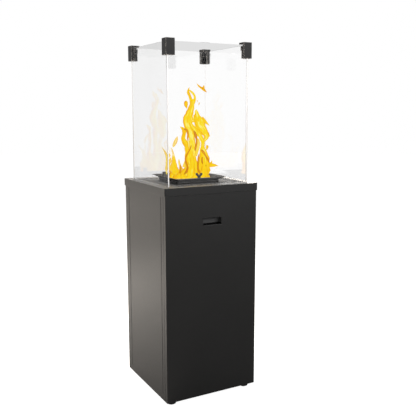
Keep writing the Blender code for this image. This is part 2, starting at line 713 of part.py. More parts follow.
# ---------------------------------------------------------------- glass wind guard
def make_glass():
    """Four panes: the front and rear run the full width, and the sides stand between them."""
    half, low, high = GLASS_WIDTH / 2, CAP_TOP + GAP, CAP_TOP + GLASS_HEIGHT
    inner = half - GLASS_THICKNESS
    side = inner - GAP
    panes = {
        "glass_front": ((-half, -half, low), (half, -inner, high)),
        "glass_rear": ((-half, inner, low), (half, half, high)),
        "glass_left": ((-half, -side, low), (-inner, side, high)),
        "glass_right": ((inner, -side, low), (half, side, high)),
    }
    for name, corner_pair in panes.items():
        round_edges(boxes(name, [corner_pair], "glass"), 0.0006, segments=1)


def corner_box(name, sx, sy, span, heights, finish=None):
    """A square post in one corner, between two distances from the middle and two heights."""
    x = sorted(sx * v for v in span)
    y = sorted(sy * v for v in span)
    return boxes(name, [((x[0], y[0], heights[0]), (x[1], y[1], heights[1]))], finish)


def make_clips():
    """Each corner has a capped outer bracket, and a clamp inside the glass that draws the panes against it."""
    bottom, clamp_top = CLIP_TOP - CLIP_HEIGHT, CLIP_TOP - CLAMP_BELOW_TOP
    deep = 0.1                                         # further in than any corner piece
    outer = GLASS_WIDTH / 2 + GAP
    jaw = GLASS_WIDTH / 2 - GLASS_THICKNESS - GAP
    end = CLIP_OUT - CLIP_LEG
    for name, sx, sy in corners():
        bracket = corner_box(f"glass_clip_{name}", sx, sy, (end, CLIP_OUT), (bottom, CLIP_TOP), "clip_coat")
        pocket = corner_box(f"clip_pocket_{name}", sx, sy, (deep, outer),
                            (bottom - THROUGH, CAP_TOP + GLASS_HEIGHT + GAP))
        round_edges(cut(bracket, pocket), 0.0012)
        clamp = corner_box(f"glass_clamp_{name}", sx, sy, (end, jaw), (bottom, clamp_top), "clip_coat")
        hollow = corner_box(f"clamp_hollow_{name}", sx, sy, (deep, jaw - CLAMP_WALL),
                            (bottom - THROUGH, clamp_top + THROUGH))
        boss = corner_box(f"clamp_boss_{name}", sx, sy, (end + 0.004, jaw - 0.001),
                          (clamp_top - 0.0005 - BOSS_HEIGHT, clamp_top - 0.0005))
        join(cut(clamp, hollow), boss)


# ---------------------------------------------------------------- controls behind the door
def make_control_panel():
    side, back = INSIDE - GAP, PANEL_Y + PANEL_FLANGE
    path = [(-side, back), (-side, PANEL_Y), (side, PANEL_Y), (side, back)]
    panel = folded("control_panel", path, PANEL_BOTTOM, PANEL_TOP, "powder_coat")
    cut(panel, panel_drill("spindle_hole", COLLAR_RADIUS + 0.0012, KNOB_X))
    cut(panel, panel_drill("igniter_hole", BUTTON_RADIUS + 0.0031, BUTTON_X))


def make_control_valve():
    """The valve body behind the panel, with its gas inlet on the left and its outlet at the back."""
    half = VALVE_HALF
    valve = boxes("control_valve", [((KNOB_X - half, VALVE_FRONT, CONTROL_Z - half),
                                     (KNOB_X + half, VALVE_BACK, CONTROL_Z + half))], "regulator_alloy")
    round_edges(valve, 0.003)
    join(valve, rod("valve_inlet", 0.008, (KNOB_X - half + 0.002, VALVE_MIDDLE, CONTROL_Z),
                    (KNOB_X - VALVE_INLET_REACH, VALVE_MIDDLE, CONTROL_Z), sides=6))
    outlet_z = CONTROL_Z - OUTLET_BELOW
    join(valve, rod("valve_outlet", 0.0065, (KNOB_X, VALVE_BACK - 0.003, outlet_z),
                    (KNOB_X, VALVE_BACK + OUTLET_REACH, outlet_z), sides=6))
    well_depth = 0.024
    cut(valve, rod("spindle_well", COLLAR_RADIUS + 0.0004, (KNOB_X, VALVE_FRONT - THROUGH, CONTROL_Z),
                   (KNOB_X, VALVE_FRONT + well_depth, CONTROL_Z)))


def make_knob():
    """The knob turns on a collar that slides in with it against the valve's spring."""
    length, behind = 0.016, 0.010
    bore = SPINDLE_RADIUS + GAP
    collar = [(bore, length), (COLLAR_RADIUS, length), (COLLAR_RADIUS, 0), (bore, 0)]
    turned("knob_collar", collar, (KNOB_X, PANEL_Y + behind, CONTROL_Z), "brass", steps=20, axis=(0, -1, 0))

    depth, radius, rear = KNOB_DEPTH, KNOB_RADIUS, PANEL_Y - KNOB_TRAVEL - 0.0015
    body = [(0, depth), (radius - 0.0035, depth), (radius - 0.0015, depth - 0.002), (radius, 0.003), (radius, 0),
            (0, 0)]
    knob = turned("control_knob", body, (KNOB_X, rear, CONTROL_Z), "black_plastic", steps=36, axis=(0, -1, 0))
    grip_half, grip_height, front = 0.0035, 0.018, rear - depth
    grip = boxes("knob_grip", [((KNOB_X - grip_half, front - 0.006, CONTROL_Z - grip_height),
                                (KNOB_X + grip_half, front + 0.002, CONTROL_Z + grip_height))])
    spindle = rod("valve_spindle", SPINDLE_RADIUS, (KNOB_X, rear - 0.004, CONTROL_Z),
                  (KNOB_X, PANEL_Y + 0.018, CONTROL_Z), sides=16)
    join(join(knob, grip), spindle)


def make_igniter():
    """A piezo igniter: a threaded body through the panel, and the button that travels in it."""
    bore, thread, flange = BUTTON_RADIUS + 0.0004, BUTTON_RADIUS + 0.0028, BUTTON_RADIUS + 0.0054
    well, lip, rear = 0.020, 0.004, 0.010
    body = [(0, -well), (bore, -well), (bore, lip), (flange, lip), (flange, GAP), (thread, GAP),
            (thread, -IGNITER_BACK), (0, -IGNITER_BACK)]
    turned("igniter_body", body, (BUTTON_X, PANEL_Y, CONTROL_Z), "black_plastic", steps=28, axis=(0, -1, 0))
    nose = 0.013
    button = [(0, nose), (BUTTON_RADIUS - 0.0014, nose), (BUTTON_RADIUS, nose - 0.0015), (BUTTON_RADIUS, -rear),
              (0, -rear)]
    turned("igniter_button", button, (BUTTON_X, PANEL_Y, CONTROL_Z), "red_plastic", steps=28, axis=(0, -1, 0))


def make_tilt_switch():
    """The anti-tilt switch stands upright on the rear of the control panel."""
    half, depth, low, high = 0.014, 0.022, 0.735, 0.770
    switch = boxes("tilt_switch", [((-half, VALVE_FRONT, low), (half, VALVE_FRONT + depth, high))],
                   "black_plastic")
    round_edges(switch, 0.0015)


# ---------------------------------------------------------------- gas cylinder
def dome(radius, edge, rise, first, last, step=1):
    """Points along an elliptical dome, from steps up from its edge to steps nearer its crown."""
    points = []
    for i in range(first, last, step):
        angle = math.radians(90) * i / DOME_STEPS
        points.append((radius * math.cos(angle) if i < DOME_STEPS else 0, edge + rise * math.sin(angle)))
    return points


def dome_height(radius, rise):
    """How far an elliptical dome stands above its edge at a radius."""
    return rise * math.sqrt(1 - (radius / CYLINDER_RADIUS) ** 2)


def make_gas_cylinder():
    """A welded vessel, hollow up to the neck that the valve screws into."""
    inner, wall = CYLINDER_RADIUS - CYLINDER_WALL, CYLINDER_WALL
    inside = dome(inner, CYLINDER_LOW, wall - DOME_LOW, DOME_STEPS, -1, -2)
    inside += dome(inner, CYLINDER_HIGH, DOME_HIGH - wall, 0, DOME_STEPS - 1, 2)
    inside.append((NECK_BORE, CYLINDER_HIGH + DOME_HIGH - 2 * wall))
    outside = [(NECK_RADIUS, CYLINDER_HIGH + dome_height(NECK_RADIUS, DOME_HIGH))]
    outside += dome(CYLINDER_RADIUS, CYLINDER_HIGH, DOME_HIGH, DOME_STEPS - 2, -1, -1)
    outside += dome(CYLINDER_RADIUS, CYLINDER_LOW, -DOME_LOW, 0, DOME_STEPS + 1)
    profile = inside + [(NECK_BORE, NECK_TOP), (NECK_RADIUS, NECK_TOP)] + outside
    turned("gas_cylinder", profile, (0, CYLINDER_Y, 0), "cylinder_paint", steps=32)


def make_foot_ring():
    """The rolled ring that the cylinder stands on."""
    half = 0.003
    top = CYLINDER_LOW - dome_height(FOOT_RING_RADIUS, DOME_LOW) - 0.0016
    floor = FLOOR + SHEET + GAP
    inner, outer, toe = FOOT_RING_RADIUS - half, FOOT_RING_RADIUS, FOOT_RING_RADIUS + half
    foot = [(inner, top), (outer, top), (outer, floor + 0.004), (toe, floor + 0.001), (toe, floor), (inner, floor)]
    ring = turned("cylinder_foot_ring", foot, (0, CYLINDER_Y, 0), "cylinder_paint", steps=40)
    vent_z = floor + 0.0234
    cut(ring, rod("foot_ring_vent", 0.008, (-0.15, CYLINDER_Y, vent_z), (0.15, CYLINDER_Y, vent_z), sides=12))


def make_guard():
    """The guard ring round the valve, with a rolled top edge and three hand holes."""
    low = CYLINDER_HIGH + dome_height(GUARD_RADIUS - 0.003, DOME_HIGH) + 0.0005
    inner, outer, rolled, edge = GUARD_RADIUS - 0.003, GUARD_RADIUS, GUARD_RADIUS + 0.003, GUARD_TOP - 0.005
    guard = [(inner, GUARD_TOP), (rolled, GUARD_TOP), (rolled, edge), (outer, edge), (outer, low), (inner, low)]
    ring = turned("cylinder_guard", guard, (0, CYLINDER_Y, 0), "cylinder_paint", steps=44)
    half, near, far, top = 0.045, 0.050, 0.120, GUARD_TOP - 0.012
    regulator_side, hand_hole = 0.525, 0.560
    windows = [((-far, CYLINDER_Y - half, regulator_side), (-near, CYLINDER_Y + half, top)),
               ((near, CYLINDER_Y - half, hand_hole), (far, CYLINDER_Y + half, top)),
               ((-half, CYLINDER_Y - far - 0.018, regulator_side), (half, CYLINDER_Y - near - 0.018, top))]
    cut(ring, boxes("guard_windows", windows))


def make_cylinder_valve():
    """The brass valve in the cylinder's neck, and the handwheel on its stem."""
    seat, shank = NECK_TOP + GAP, NECK_TOP - 0.020
    body = [(0, 0.590), (STEM_RADIUS, 0.590), (STEM_RADIUS, 0.578), (0.0095, 0.578), (0.0095, 0.572),
            (0.0140, 0.572), (0.0140, 0.545), (0.0185, 0.540), (0.0185, seat), (NECK_BORE - GAP, seat),
            (0.0125, shank), (0, shank)]
    valve = turned("cylinder_valve", body, (0, CYLINDER_Y, 0), "brass", steps=24)
    join(valve, rod("outlet_boss", 0.0095, (-0.008, CYLINDER_Y, OUTLET_Z), (-0.026, CYLINDER_Y, OUTLET_Z),
                    sides=20))

    wheel = extruded("cylinder_handwheel", ring_outline(HANDWHEEL_RADIUS, 60, 6, 0.0022), 0.014, "black_plastic",
                     holes=[ring_outline(STEM_RADIUS + 0.0004, 16)])
    wheel.location = (0, CYLINDER_Y, HANDWHEEL_Z)


def make_regulator():
    """The coupling nut on the cylinder's outlet, and the regulator."""
    def at(x):
        return (x, CYLINDER_Y, OUTLET_Z)

    nut = rod("regulator_nut", 0.0155, at(-0.0263), at(-0.0400), "brass", sides=6)
    cut(nut, rod("nut_bore", 0.0065, at(-0.020), at(-0.050), sides=20))

    dish = [(0, 0.019), (0.010, 0.019), (0.012, 0.014), (0.024, 0.010), (0.030, 0.004), (0.030, -0.006),
            (0.020, -0.014), (0, -0.016)]
    body = turned("regulator", dish, at(REGULATOR_X), "regulator_alloy", steps=32)
    join(body, rod("regulator_inlet", 0.0060, at(-0.0266), at(REGULATOR_X + 0.014), sides=20))
    join(body, rod("regulator_outlet", 0.0075, at(REGULATOR_X - 0.021), at(REGULATOR_END), sides=20))


def make_hose():
    """The gas hose: out of the regulator, up the left side in two clips, and across into the control valve."""
    straight = Vector((0.008, 0, 0))
    start = Vector((REGULATOR_END - GAP, CYLINDER_Y, OUTLET_Z))
    end = Vector((KNOB_X - VALVE_INLET_REACH - GAP, VALVE_MIDDLE, CONTROL_Z))
    leave, arrive = start - straight, end - straight
    rise = Vector((HOSE_WALL_X, CYLINDER_Y, OUTLET_Z + 0.062))
    top = rise + Vector((0, 0, 0.040))
    route = [start, leave]
    route += bezier(leave, leave - Vector((0.028, 0, 0)), rise - Vector((0, 0, 0.034)), rise, 8)
    route += [(rise + top) / 2, top]
    route += bezier(top, top + Vector((0, 0, 0.092)), arrive - Vector((0.090, 0, 0)), arrive, 16)
    route.append(end)
    tube("gas_hose", route, HOSE_RADIUS, "hose_rubber")
    make_hose_clip("lower", rise.z + 0.006)
    make_hose_clip("upper", top.z - 0.006)


def make_hose_clip(name, z):
    """A band round the hose with a tail and a foot against the side panel."""
    half, wall_x, back = 0.005, -INSIDE + GAP, CYLINDER_Y + HOSE_RADIUS
    band = extruded(f"hose_clip_{name}", ring_outline(HOSE_RADIUS + 0.0018, 28), 2 * half, "zinc_steel",
                    holes=[ring_outline(HOSE_RADIUS + GAP, 28)])
    band.location = (HOSE_WALL_X, CYLINDER_Y, z)
    band = as_mesh(band)
    tail = boxes(f"clip_tail_{name}", [((wall_x, back + 0.0002, z - half), (HOSE_WALL_X, back + 0.0016, z + half))])
    foot = boxes(f"clip_foot_{name}", [((wall_x, back + 0.0004, z - half),
                                        (wall_x + 0.0014, back + 0.016, z + half))])
    join(join(band, tail), foot)


def main():
    clear_scene()
    make_materials()
    make_feet()
    make_bottom_pan()
    make_side_panels()
    make_rear_panel()
    make_front_header()
    make_cap_plate()
    make_heat_shield()
    make_door()
    make_finger_cup()
    make_hinges()
    make_magnet_catch()
    make_tray()
    make_burner()
    make_injector()
    make_pilot()
    make_flame_guide()
    make_leads()
    make_supply_pipe()
    make_glass()
    make_clips()
    make_control_panel()
    make_control_valve()
    make_knob()
    make_igniter()
    make_tilt_switch()
    make_gas_cylinder()
    make_foot_ring()
    make_guard()
    make_cylinder_valve()
    make_regulator()
    make_hose()
    hang_door()
    bpy.context.view_layer.update()


main()
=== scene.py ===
"""Looks of the outdoor gas heater: finishes, glass, flames, studio light and camera.

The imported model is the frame. +Z is up, and lengths are in metres except in the flames' rows.
"""
import json
import math

import bmesh
import bpy
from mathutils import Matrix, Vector, noise

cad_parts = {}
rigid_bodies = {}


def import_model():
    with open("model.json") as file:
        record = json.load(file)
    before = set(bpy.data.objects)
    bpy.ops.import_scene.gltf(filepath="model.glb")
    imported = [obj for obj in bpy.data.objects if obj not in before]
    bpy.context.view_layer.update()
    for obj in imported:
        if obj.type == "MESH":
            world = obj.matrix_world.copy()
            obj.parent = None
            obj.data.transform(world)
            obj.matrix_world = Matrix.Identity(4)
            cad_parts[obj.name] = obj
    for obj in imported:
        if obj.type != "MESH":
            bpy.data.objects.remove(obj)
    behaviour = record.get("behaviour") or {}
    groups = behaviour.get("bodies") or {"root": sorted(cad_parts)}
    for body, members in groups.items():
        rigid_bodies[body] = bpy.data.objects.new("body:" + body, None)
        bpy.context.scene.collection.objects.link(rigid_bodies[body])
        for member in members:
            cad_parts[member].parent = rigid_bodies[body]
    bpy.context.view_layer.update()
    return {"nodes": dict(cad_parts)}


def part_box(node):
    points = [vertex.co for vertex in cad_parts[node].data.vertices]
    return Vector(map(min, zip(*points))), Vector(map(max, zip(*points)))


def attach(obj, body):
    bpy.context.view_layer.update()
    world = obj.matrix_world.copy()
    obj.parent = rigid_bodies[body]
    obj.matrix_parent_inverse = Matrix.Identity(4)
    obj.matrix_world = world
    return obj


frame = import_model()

MM = 0.001

# Heights read from the frame
CAP_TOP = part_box("burner_tray")[0].z
CUP_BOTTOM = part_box("finger_cup")[0].z

# Heights at which a finish changes or the finger cup's painted shade ends, the reach of the burner's heat
# tint, and the rim's painted glow
SCORCHED_TO = CAP_TOP + 22 * MM
HOT_FROM, HOT_TO = CAP_TOP - 4 * MM, CAP_TOP + 2 * MM
CUP_PAINTED_SHADE_TO, CUP_UNSHADED_FROM = CUP_BOTTOM + 9 * MM, CUP_BOTTOM + 10.5 * MM
RIM_FADES_FROM, RIM_FADES_TO = CAP_TOP + 160 * MM, CAP_TOP + 360 * MM
RIM_GLOW, RIM_GLOW_HIGH, RIM_GLOW_TOP = 0.36, 0.58, 0.10
HOT_RADIUS = 75 * MM

# Camera
CAMERA_PLACE = (-1.1175, -2.1888, 1.1298)
CAMERA_PITCH = math.radians(80.86)
CAMERA_HEADING = math.radians(-28.86)
CAMERA_LENS = 52.81
SENSOR_WIDTH = 36.0

# Studio levels: as seen, as a light, in reflections, and the share left behind a single pane
FLOOR_RADIUS = 14.0
SKY_SEEN = 1.0
SKY_LIGHT = 0.5
FLOOR_SEEN = 0.95
FLOOR_MIRRORED = 0.03
ONE_PANE = 0.76
PANE_FACES = 2.0
WARM = (1.0, 0.92, 0.83)

# Glass: its indexes are set by the strength of the photo's reflections, not by real glass
PANES = ("glass_front", "glass_left", "glass_rear", "glass_right")
CLEAR_IOR = 1.25
CLEAR_GLARE = 0.22
MIRRORING_IOR = 1.9
MIRRORING_GLARE = 0.5
CLEARNESS = 0.997
LEFT_PANE_CLEARNESS = 0.95

# Edge rounding of the pressed sheet, cast and moulded pieces
ROUNDING = {
    "powder_coat": 0.7 * MM,
    "clip_coat": 1.2 * MM,
    "heatproof_coat": 0.5 * MM,
    "zinc_steel": 0.25 * MM,
    "stainless": 0.2 * MM,
    "brass": 0.3 * MM,
    "cylinder_paint": 0.6 * MM,
    "regulator_alloy": 0.8 * MM,
    "black_plastic": 0.5 * MM,
    "red_plastic": 0.5 * MM,
    "rubber": 0.8 * MM,
    "ceramic": 0.3 * MM,
    "glass": 0.2 * MM,
}
SHARP_ANGLE = math.radians(34)
WELD = 0.00002


# ---------------------------------------------------------------- node helpers

def feed(tree, socket, value):
    """Links an output to the socket, or sets the socket to a plain value."""
    if isinstance(value, bpy.types.NodeSocket):
        tree.links.new(value, socket)
    elif isinstance(value, tuple) and len(value) == 3 and socket.type == "RGBA":
        socket.default_value = (*value, 1.0)
    else:
        socket.default_value = value


class Finish:
    """One Principled material and the procedural nodes that give it its look."""

    def __init__(self, name):
        self.material = bpy.data.materials.new(name)
        self.material.use_nodes = True
        self.tree = self.material.node_tree
        self.shader = self.tree.nodes["Principled BSDF"]
        self.place = self.node("ShaderNodeTexCoord").outputs["Object"]

    def node(self, kind, **settings):
        made = self.tree.nodes.new(kind)
        for name, value in settings.items():
            setattr(made, name, value)
        return made

    def plug(self, socket, value):
        feed(self.tree, socket, value)

    def set(self, values):
        for name, value in values.items():
            self.plug(self.shader.inputs[name], value)

    def math(self, operation, first, second=0.0):
        made = self.node("ShaderNodeMath", operation=operation)
        self.plug(made.inputs[0], first)
        self.plug(made.inputs[1], second)
        return made.outputs[0]

    def vector(self, operation, first, second):
        made = self.node("ShaderNodeVectorMath", operation=operation)
        self.plug(made.inputs[0], first)
        self.plug(made.inputs[1], second)
        return made

    def stretched(self, x, y, z, place=None):
        return self.vector("MULTIPLY", place or self.place, (x, y, z)).outputs[0]

    def warped(self, place, scale, amount):
        """The place, pushed about by a slow noise."""
        push = self.node("ShaderNodeTexNoise")
        self.plug(push.inputs["Vector"], place)
        push.inputs["Scale"].default_value = scale
        centred = self.vector("SUBTRACT", push.outputs["Color"], (0.5, 0.5, 0.5)).outputs[0]
        moved = self.vector("MULTIPLY", centred, (amount, amount, amount)).outputs[0]
        return self.vector("ADD", place, moved).outputs[0]

    def noise(self, scale, detail=3.0, rough=0.5, place=None):
        made = self.node("ShaderNodeTexNoise")
        self.plug(made.inputs["Vector"], place or self.place)
        made.inputs["Scale"].default_value = scale
        made.inputs["Detail"].default_value = detail
        made.inputs["Roughness"].default_value = rough
        return made.outputs["Fac"]

    def cells(self, scale, place=None, feature="F1", output="Distance"):
        made = self.node("ShaderNodeTexVoronoi", feature=feature)
        self.plug(made.inputs["Vector"], place or self.place)
        made.inputs["Scale"].default_value = scale
        return made.outputs[output]

    def span(self, value, low, high, to_low=0.0, to_high=1.0):
        """The value, stretched from low and high to the two new ends and held between them."""
        made = self.node("ShaderNodeMapRange", clamp=True)
        for socket, number in zip(made.inputs, (value, low, high, to_low, to_high)):
            self.plug(socket, number)
        return made.outputs[0]

    def palette(self, value, *stops):
        made = self.node("ShaderNodeValToRGB")
        ramp = made.color_ramp
        first, *middle, last = stops
        ramp.elements[0].position, ramp.elements[1].position = first[0], last[0]
        ramp.elements[0].color, ramp.elements[1].color = (*first[1], 1.0), (*last[1], 1.0)
        for position, colour in middle:
            ramp.elements.new(position).color = (*colour, 1.0)
        self.plug(made.inputs[0], value)
        return made.outputs[0]

    def mix(self, factor, first, second):
        made = self.node("ShaderNodeMix", data_type="RGBA")
        self.plug(made.inputs[0], factor)
        self.plug(made.inputs[6], first)
        self.plug(made.inputs[7], second)
        return made.outputs[2]

    def bump(self, height, distance, strength, under=None):
        made = self.node("ShaderNodeBump")
        made.inputs["Distance"].default_value = distance
        made.inputs["Strength"].default_value = strength
        self.plug(made.inputs["Height"], height)
        if under:
            self.plug(made.inputs["Normal"], under)
        return made.outputs[0]

    def edges(self, reach):
        """1 along outer edges, where the surface behind is near, and 0 on open faces."""
        shade = self.node("ShaderNodeAmbientOcclusion", samples=6, inside=True, only_local=True)
        shade.inputs["Distance"].default_value = reach
        return self.span(shade.outputs["AO"], 0.92, 0.62)

    def hollows(self, reach):
        """1 in the bottom of grooves and corners and 0 on open faces."""
        shade = self.node("ShaderNodeAmbientOcclusion", samples=6)
        shade.inputs["Distance"].default_value = reach
        return self.span(shade.outputs["AO"], 0.75, 0.35)

    def height(self):
        """The height above the ground at rest, because the frame's nodes stand at the origin."""
        made = self.node("ShaderNodeSeparateXYZ")
        self.plug(made.inputs[0], self.place)
        return made.outputs["Z"]


def grey(level, warmth=0.0):
    return (level * (1 + warmth), level, level * (1 - warmth))


# ---------------------------------------------------------------- coats

def coated(name, dark, pale, worn, gloss, grain, wear_and_highlight_width):
    """A textured coat: clouded colour, a fine pebbled skin, pale edges that are partly rubbed wear and
    partly painted highlight, and hollows darkened by painted shade and made duller.
    """
    look = Finish(name)
    clouds = look.noise(5.0, 4.0, 0.6)
    pebbles = look.noise(grain, 2.0, 0.55)
    mottle = look.noise(grain / 4, 3.0, 0.6)
    shade = look.math("ADD", look.span(clouds, 0.3, 0.7, 0.0, 0.5),
                      look.span(mottle, 0.3, 0.7, 0.0, 0.5))
    # Pale edges: partly rubbed wear, partly a painted highlight along the corners.
    rub = look.math("MULTIPLY", look.edges(wear_and_highlight_width), look.span(look.noise(90.0), 0.3, 0.55))
    # Painted shade: hollows and corners are darkened towards black, and also made duller.
    hollow = look.hollows(4 * MM)
    colour = look.mix(rub, look.mix(shade, dark, pale), worn)
    roughness = look.math("ADD", look.span(mottle, 0.3, 0.7, gloss - 0.03, gloss + 0.03),
                          look.math("MULTIPLY", hollow, 0.35))
    skin = look.bump(mottle, 0.00018, 0.4)
    look.set({
        "Base Color": look.mix(look.math("MULTIPLY", hollow, 0.8), colour, grey(0.002)),
        "Roughness": look.math("SUBTRACT", roughness, look.math("MULTIPLY", rub, 0.12)),
        "IOR": 1.40,
        "Normal": look.bump(pebbles, 0.00008, 0.5, skin),
    })
    return look.material


def powder_coat():
    # The lighter edges, grey(0.04), are partly wear and partly painted highlight.
    return coated("powder_coat", grey(0.0060, 0.04), grey(0.0090, 0.04), grey(0.04, 0.04),
                  0.43, 900.0, 1.2 * MM)


def clip_coat():
    # The pale grey(0.80) edges are mostly painted highlight lines along the clips' corners, and partly wear.
    return coated("clip_coat", grey(0.008), grey(0.012), grey(0.80, 0.06), 0.38, 1200.0, 1.7 * MM)


def heatproof_coat():
    """Matt black stove coat, chalked pale and brown by the flames above the burner."""
    look = Finish("heatproof_coat")
    soot = look.noise(28.0, 5.0, 0.65)
    grain = look.noise(1500.0, 2.0)
    above = look.span(look.height(), CAP_TOP, SCORCHED_TO)
    scorched = look.math("MULTIPLY", look.span(soot, 0.48, 0.72), above)
    colour = look.mix(look.span(soot, 0.3, 0.7), grey(0.024, 0.03), grey(0.042, 0.03))
    colour = look.mix(look.math("MULTIPLY", scorched, 0.5), colour, (0.075, 0.058, 0.045))
    rub = look.math("MULTIPLY", look.edges(1.2 * MM), 0.7)
    look.set({
        "Base Color": look.mix(rub, colour, grey(0.12, 0.03)),
        "Roughness": look.span(soot, 0.3, 0.7, 0.48, 0.62),
        "IOR": 1.45,
        "Normal": look.bump(grain, 0.00006, 0.5),
    })
    return look.material


def cylinder_paint():
    """Gloss paint over steel: orange peel, dull handling scuffs and chips on the rims."""
    look = Finish("cylinder_paint")
    peel = look.noise(420.0, 1.5)
    scuffs = look.span(look.noise(22.0, 6.0, 0.7, look.stretched(1.0, 1.0, 2.6)), 0.54, 0.66)
    clouds = look.noise(7.0, 3.0)
    colour = look.mix(look.span(clouds, 0.3, 0.7), (0.050, 0.088, 0.135), (0.066, 0.110, 0.160))
    colour = look.mix(look.math("MULTIPLY", scuffs, 0.4), colour, (0.15, 0.18, 0.21))
    chips = look.math("MULTIPLY", look.edges(1.5 * MM), look.span(look.noise(160.0, 4.0), 0.52, 0.58))
    look.set({
        "Base Color": look.mix(chips, colour, (0.16, 0.13, 0.11)),
        "Metallic": look.math("MULTIPLY", chips, 0.6),
        "Roughness": look.math("ADD", look.span(scuffs, 0.0, 1.0, 0.24, 0.42),
                               look.math("MULTIPLY", chips, 0.2)),
        "Coat Weight": 0.35,
        "Coat Roughness": 0.12,
        "Normal": look.bump(peel, 0.00010, 0.4),
    })
    return look.material


# ---------------------------------------------------------------- bare metals

def metal(name, dark, pale, tarnish, roughness, stretch):
    """Bare metal with drawn or brushed lines along one way and a patchy tarnish."""
    look = Finish(name)
    lines = look.noise(600.0, 3.0, 0.6, look.stretched(*stretch))
    patches = look.noise(45.0, 4.0, 0.62)
    colour = look.mix(look.span(lines, 0.3, 0.7), dark, pale)
    stained = look.math("MULTIPLY", look.span(patches, 0.48, 0.75), 0.65)
    rub = look.math("MULTIPLY", look.edges(0.8 * MM), 0.5)
    colour = look.mix(stained, colour, tarnish)
    look.set({
        "Base Color": look.mix(rub, colour, pale),
        "Metallic": 1.0,
        "Roughness": look.math("ADD", look.span(lines, 0.3, 0.7, roughness - 0.06, roughness + 0.06),
                               look.math("MULTIPLY", stained, 0.2)),
        "Normal": look.bump(lines, 0.00003, 0.5),
    })
    return look


def zinc_steel():
    """Zinc plate: pale angular spangle with a few dull white spots."""
    look = Finish("zinc_steel")
    spangle = look.cells(140.0, look.warped(look.place, 300.0, 0.004), output="Color")
    tone = look.node("ShaderNodeSeparateColor")
    look.plug(tone.inputs[0], spangle)
    spots = look.span(look.noise(60.0, 5.0, 0.7), 0.60, 0.72)
    colour = look.mix(tone.outputs[0], (0.46, 0.48, 0.50), (0.66, 0.67, 0.68))
    look.set({
        "Base Color": look.mix(look.math("MULTIPLY", spots, 0.6), colour, (0.70, 0.71, 0.72)),
        "Metallic": look.span(spots, 0.0, 1.0, 1.0, 0.55),
        "Roughness": look.math("ADD", look.span(tone.outputs[1], 0.0, 1.0, 0.30, 0.44),
                               look.math("MULTIPLY", spots, 0.25)),
        "Normal": look.bump(tone.outputs[2], 0.00004, 0.4),
    })
    return look.material


def stainless():
    """Brushed stainless sheet, tinted straw, plum and blue where the burner runs hot."""
    look = metal("stainless", (0.50, 0.49, 0.47), (0.68, 0.67, 0.65), (0.40, 0.37, 0.33),
                 0.30, (0.05, 1.0, 1.0))
    plan = look.vector("MULTIPLY", look.place, (1.0, 1.0, 0.0)).outputs[0]
    away = look.vector("LENGTH", plan, (0.0, 0.0, 0.0)).outputs["Value"]
    blurred = look.math("ADD", away, look.span(look.noise(60.0, 3.0), 0.0, 1.0, -0.012, 0.012))
    tint = look.palette(
        look.span(blurred, 0.0, HOT_RADIUS),
        (0.0, (0.46, 0.42, 0.40)), (0.30, (0.20, 0.25, 0.42)), (0.50, (0.38, 0.22, 0.36)),
        (0.70, (0.62, 0.44, 0.20)), (1.0, (0.66, 0.62, 0.54)))
    hot = look.span(look.height(), HOT_FROM, HOT_TO)
    plain = look.shader.inputs["Base Color"].links[0].from_socket
    look.set({"Base Color": look.mix(look.math("MULTIPLY", hot, 0.8), plain, tint)})
    return look.material


def brass():
    return metal("brass", (0.62, 0.42, 0.15), (0.80, 0.60, 0.28), (0.36, 0.23, 0.09),
                 0.28, (1.0, 1.0, 0.15)).material


def copper():
    return metal("copper", (0.70, 0.34, 0.20), (0.86, 0.48, 0.32), (0.34, 0.15, 0.09),
                 0.30, (1.0, 1.0, 0.2)).material


def regulator_alloy():
    """Die-cast alloy: sandy skin, brighter along the parting edges."""
    look = Finish("regulator_alloy")
    sand = look.noise(700.0, 4.0, 0.65)
    patches = look.noise(35.0, 4.0, 0.6)
    colour = look.mix(look.span(patches, 0.3, 0.7), (0.34, 0.35, 0.36), (0.50, 0.51, 0.52))
    look.set({
        "Base Color": look.mix(look.edges(1.0 * MM), colour, (0.70, 0.70, 0.70)),
        "Metallic": 0.85,
        "Roughness": look.span(sand, 0.3, 0.7, 0.38, 0.56),
        "Normal": look.bump(sand, 0.00009, 0.5),
    })
    return look.material


# ---------------------------------------------------------------- plastics, rubber, ceramic

def moulded(name, dark, pale, worn, roughness, grain):
    """Moulded plastic: fine spark-eroded grain, dusty clouds and shiny rubbed edges."""
    look = Finish(name)
    skin = look.noise(grain, 2.0, 0.6)
    dust = look.noise(25.0, 5.0, 0.65)
    rub = look.math("MULTIPLY", look.edges(0.9 * MM), 0.8)
    colour = look.mix(look.span(dust, 0.35, 0.7), dark, pale)
    look.set({
        "Base Color": look.mix(rub, colour, worn),
        "Roughness": look.math("SUBTRACT", look.span(dust, 0.3, 0.7, roughness - 0.04, roughness + 0.08),
                               look.math("MULTIPLY", rub, 0.12)),
        "Normal": look.bump(skin, 0.00006, 0.45),
    })
    return look


def finger_cup():
    """Moulded cup, painted lighter than the black plastic against the shade of its recess, and black along
    its bottom as painted shade.
    """
    # A lighter copy of the black plastic: painted light that offsets the shade in the recess.
    look = moulded("cup_plastic", grey(0.026), grey(0.038), grey(0.08), 0.45, 1200.0)
    # Painted shade: near-black and with little gloss along the bottom 9 mm, fading out 1.5 mm higher.
    low = look.span(look.height(), CUP_PAINTED_SHADE_TO, CUP_UNSHADED_FROM)
    plain = look.shader.inputs["Base Color"].links[0].from_socket
    look.set({
        "Base Color": look.mix(low, grey(0.001), plain),
        "Specular IOR Level": look.span(low, 0.0, 1.0, 0.05, 0.5),
    })
    return look.material


def black_plastic():
    return moulded("black_plastic", grey(0.014), grey(0.024), grey(0.07), 0.45, 1600.0).material


def red_plastic():
    return moulded("red_plastic", (0.36, 0.012, 0.010), (0.48, 0.022, 0.016), (0.60, 0.06, 0.04),
                   0.30, 900.0).material


def rubber():
    return moulded("rubber", grey(0.010), grey(0.020), grey(0.035), 0.72, 500.0).material


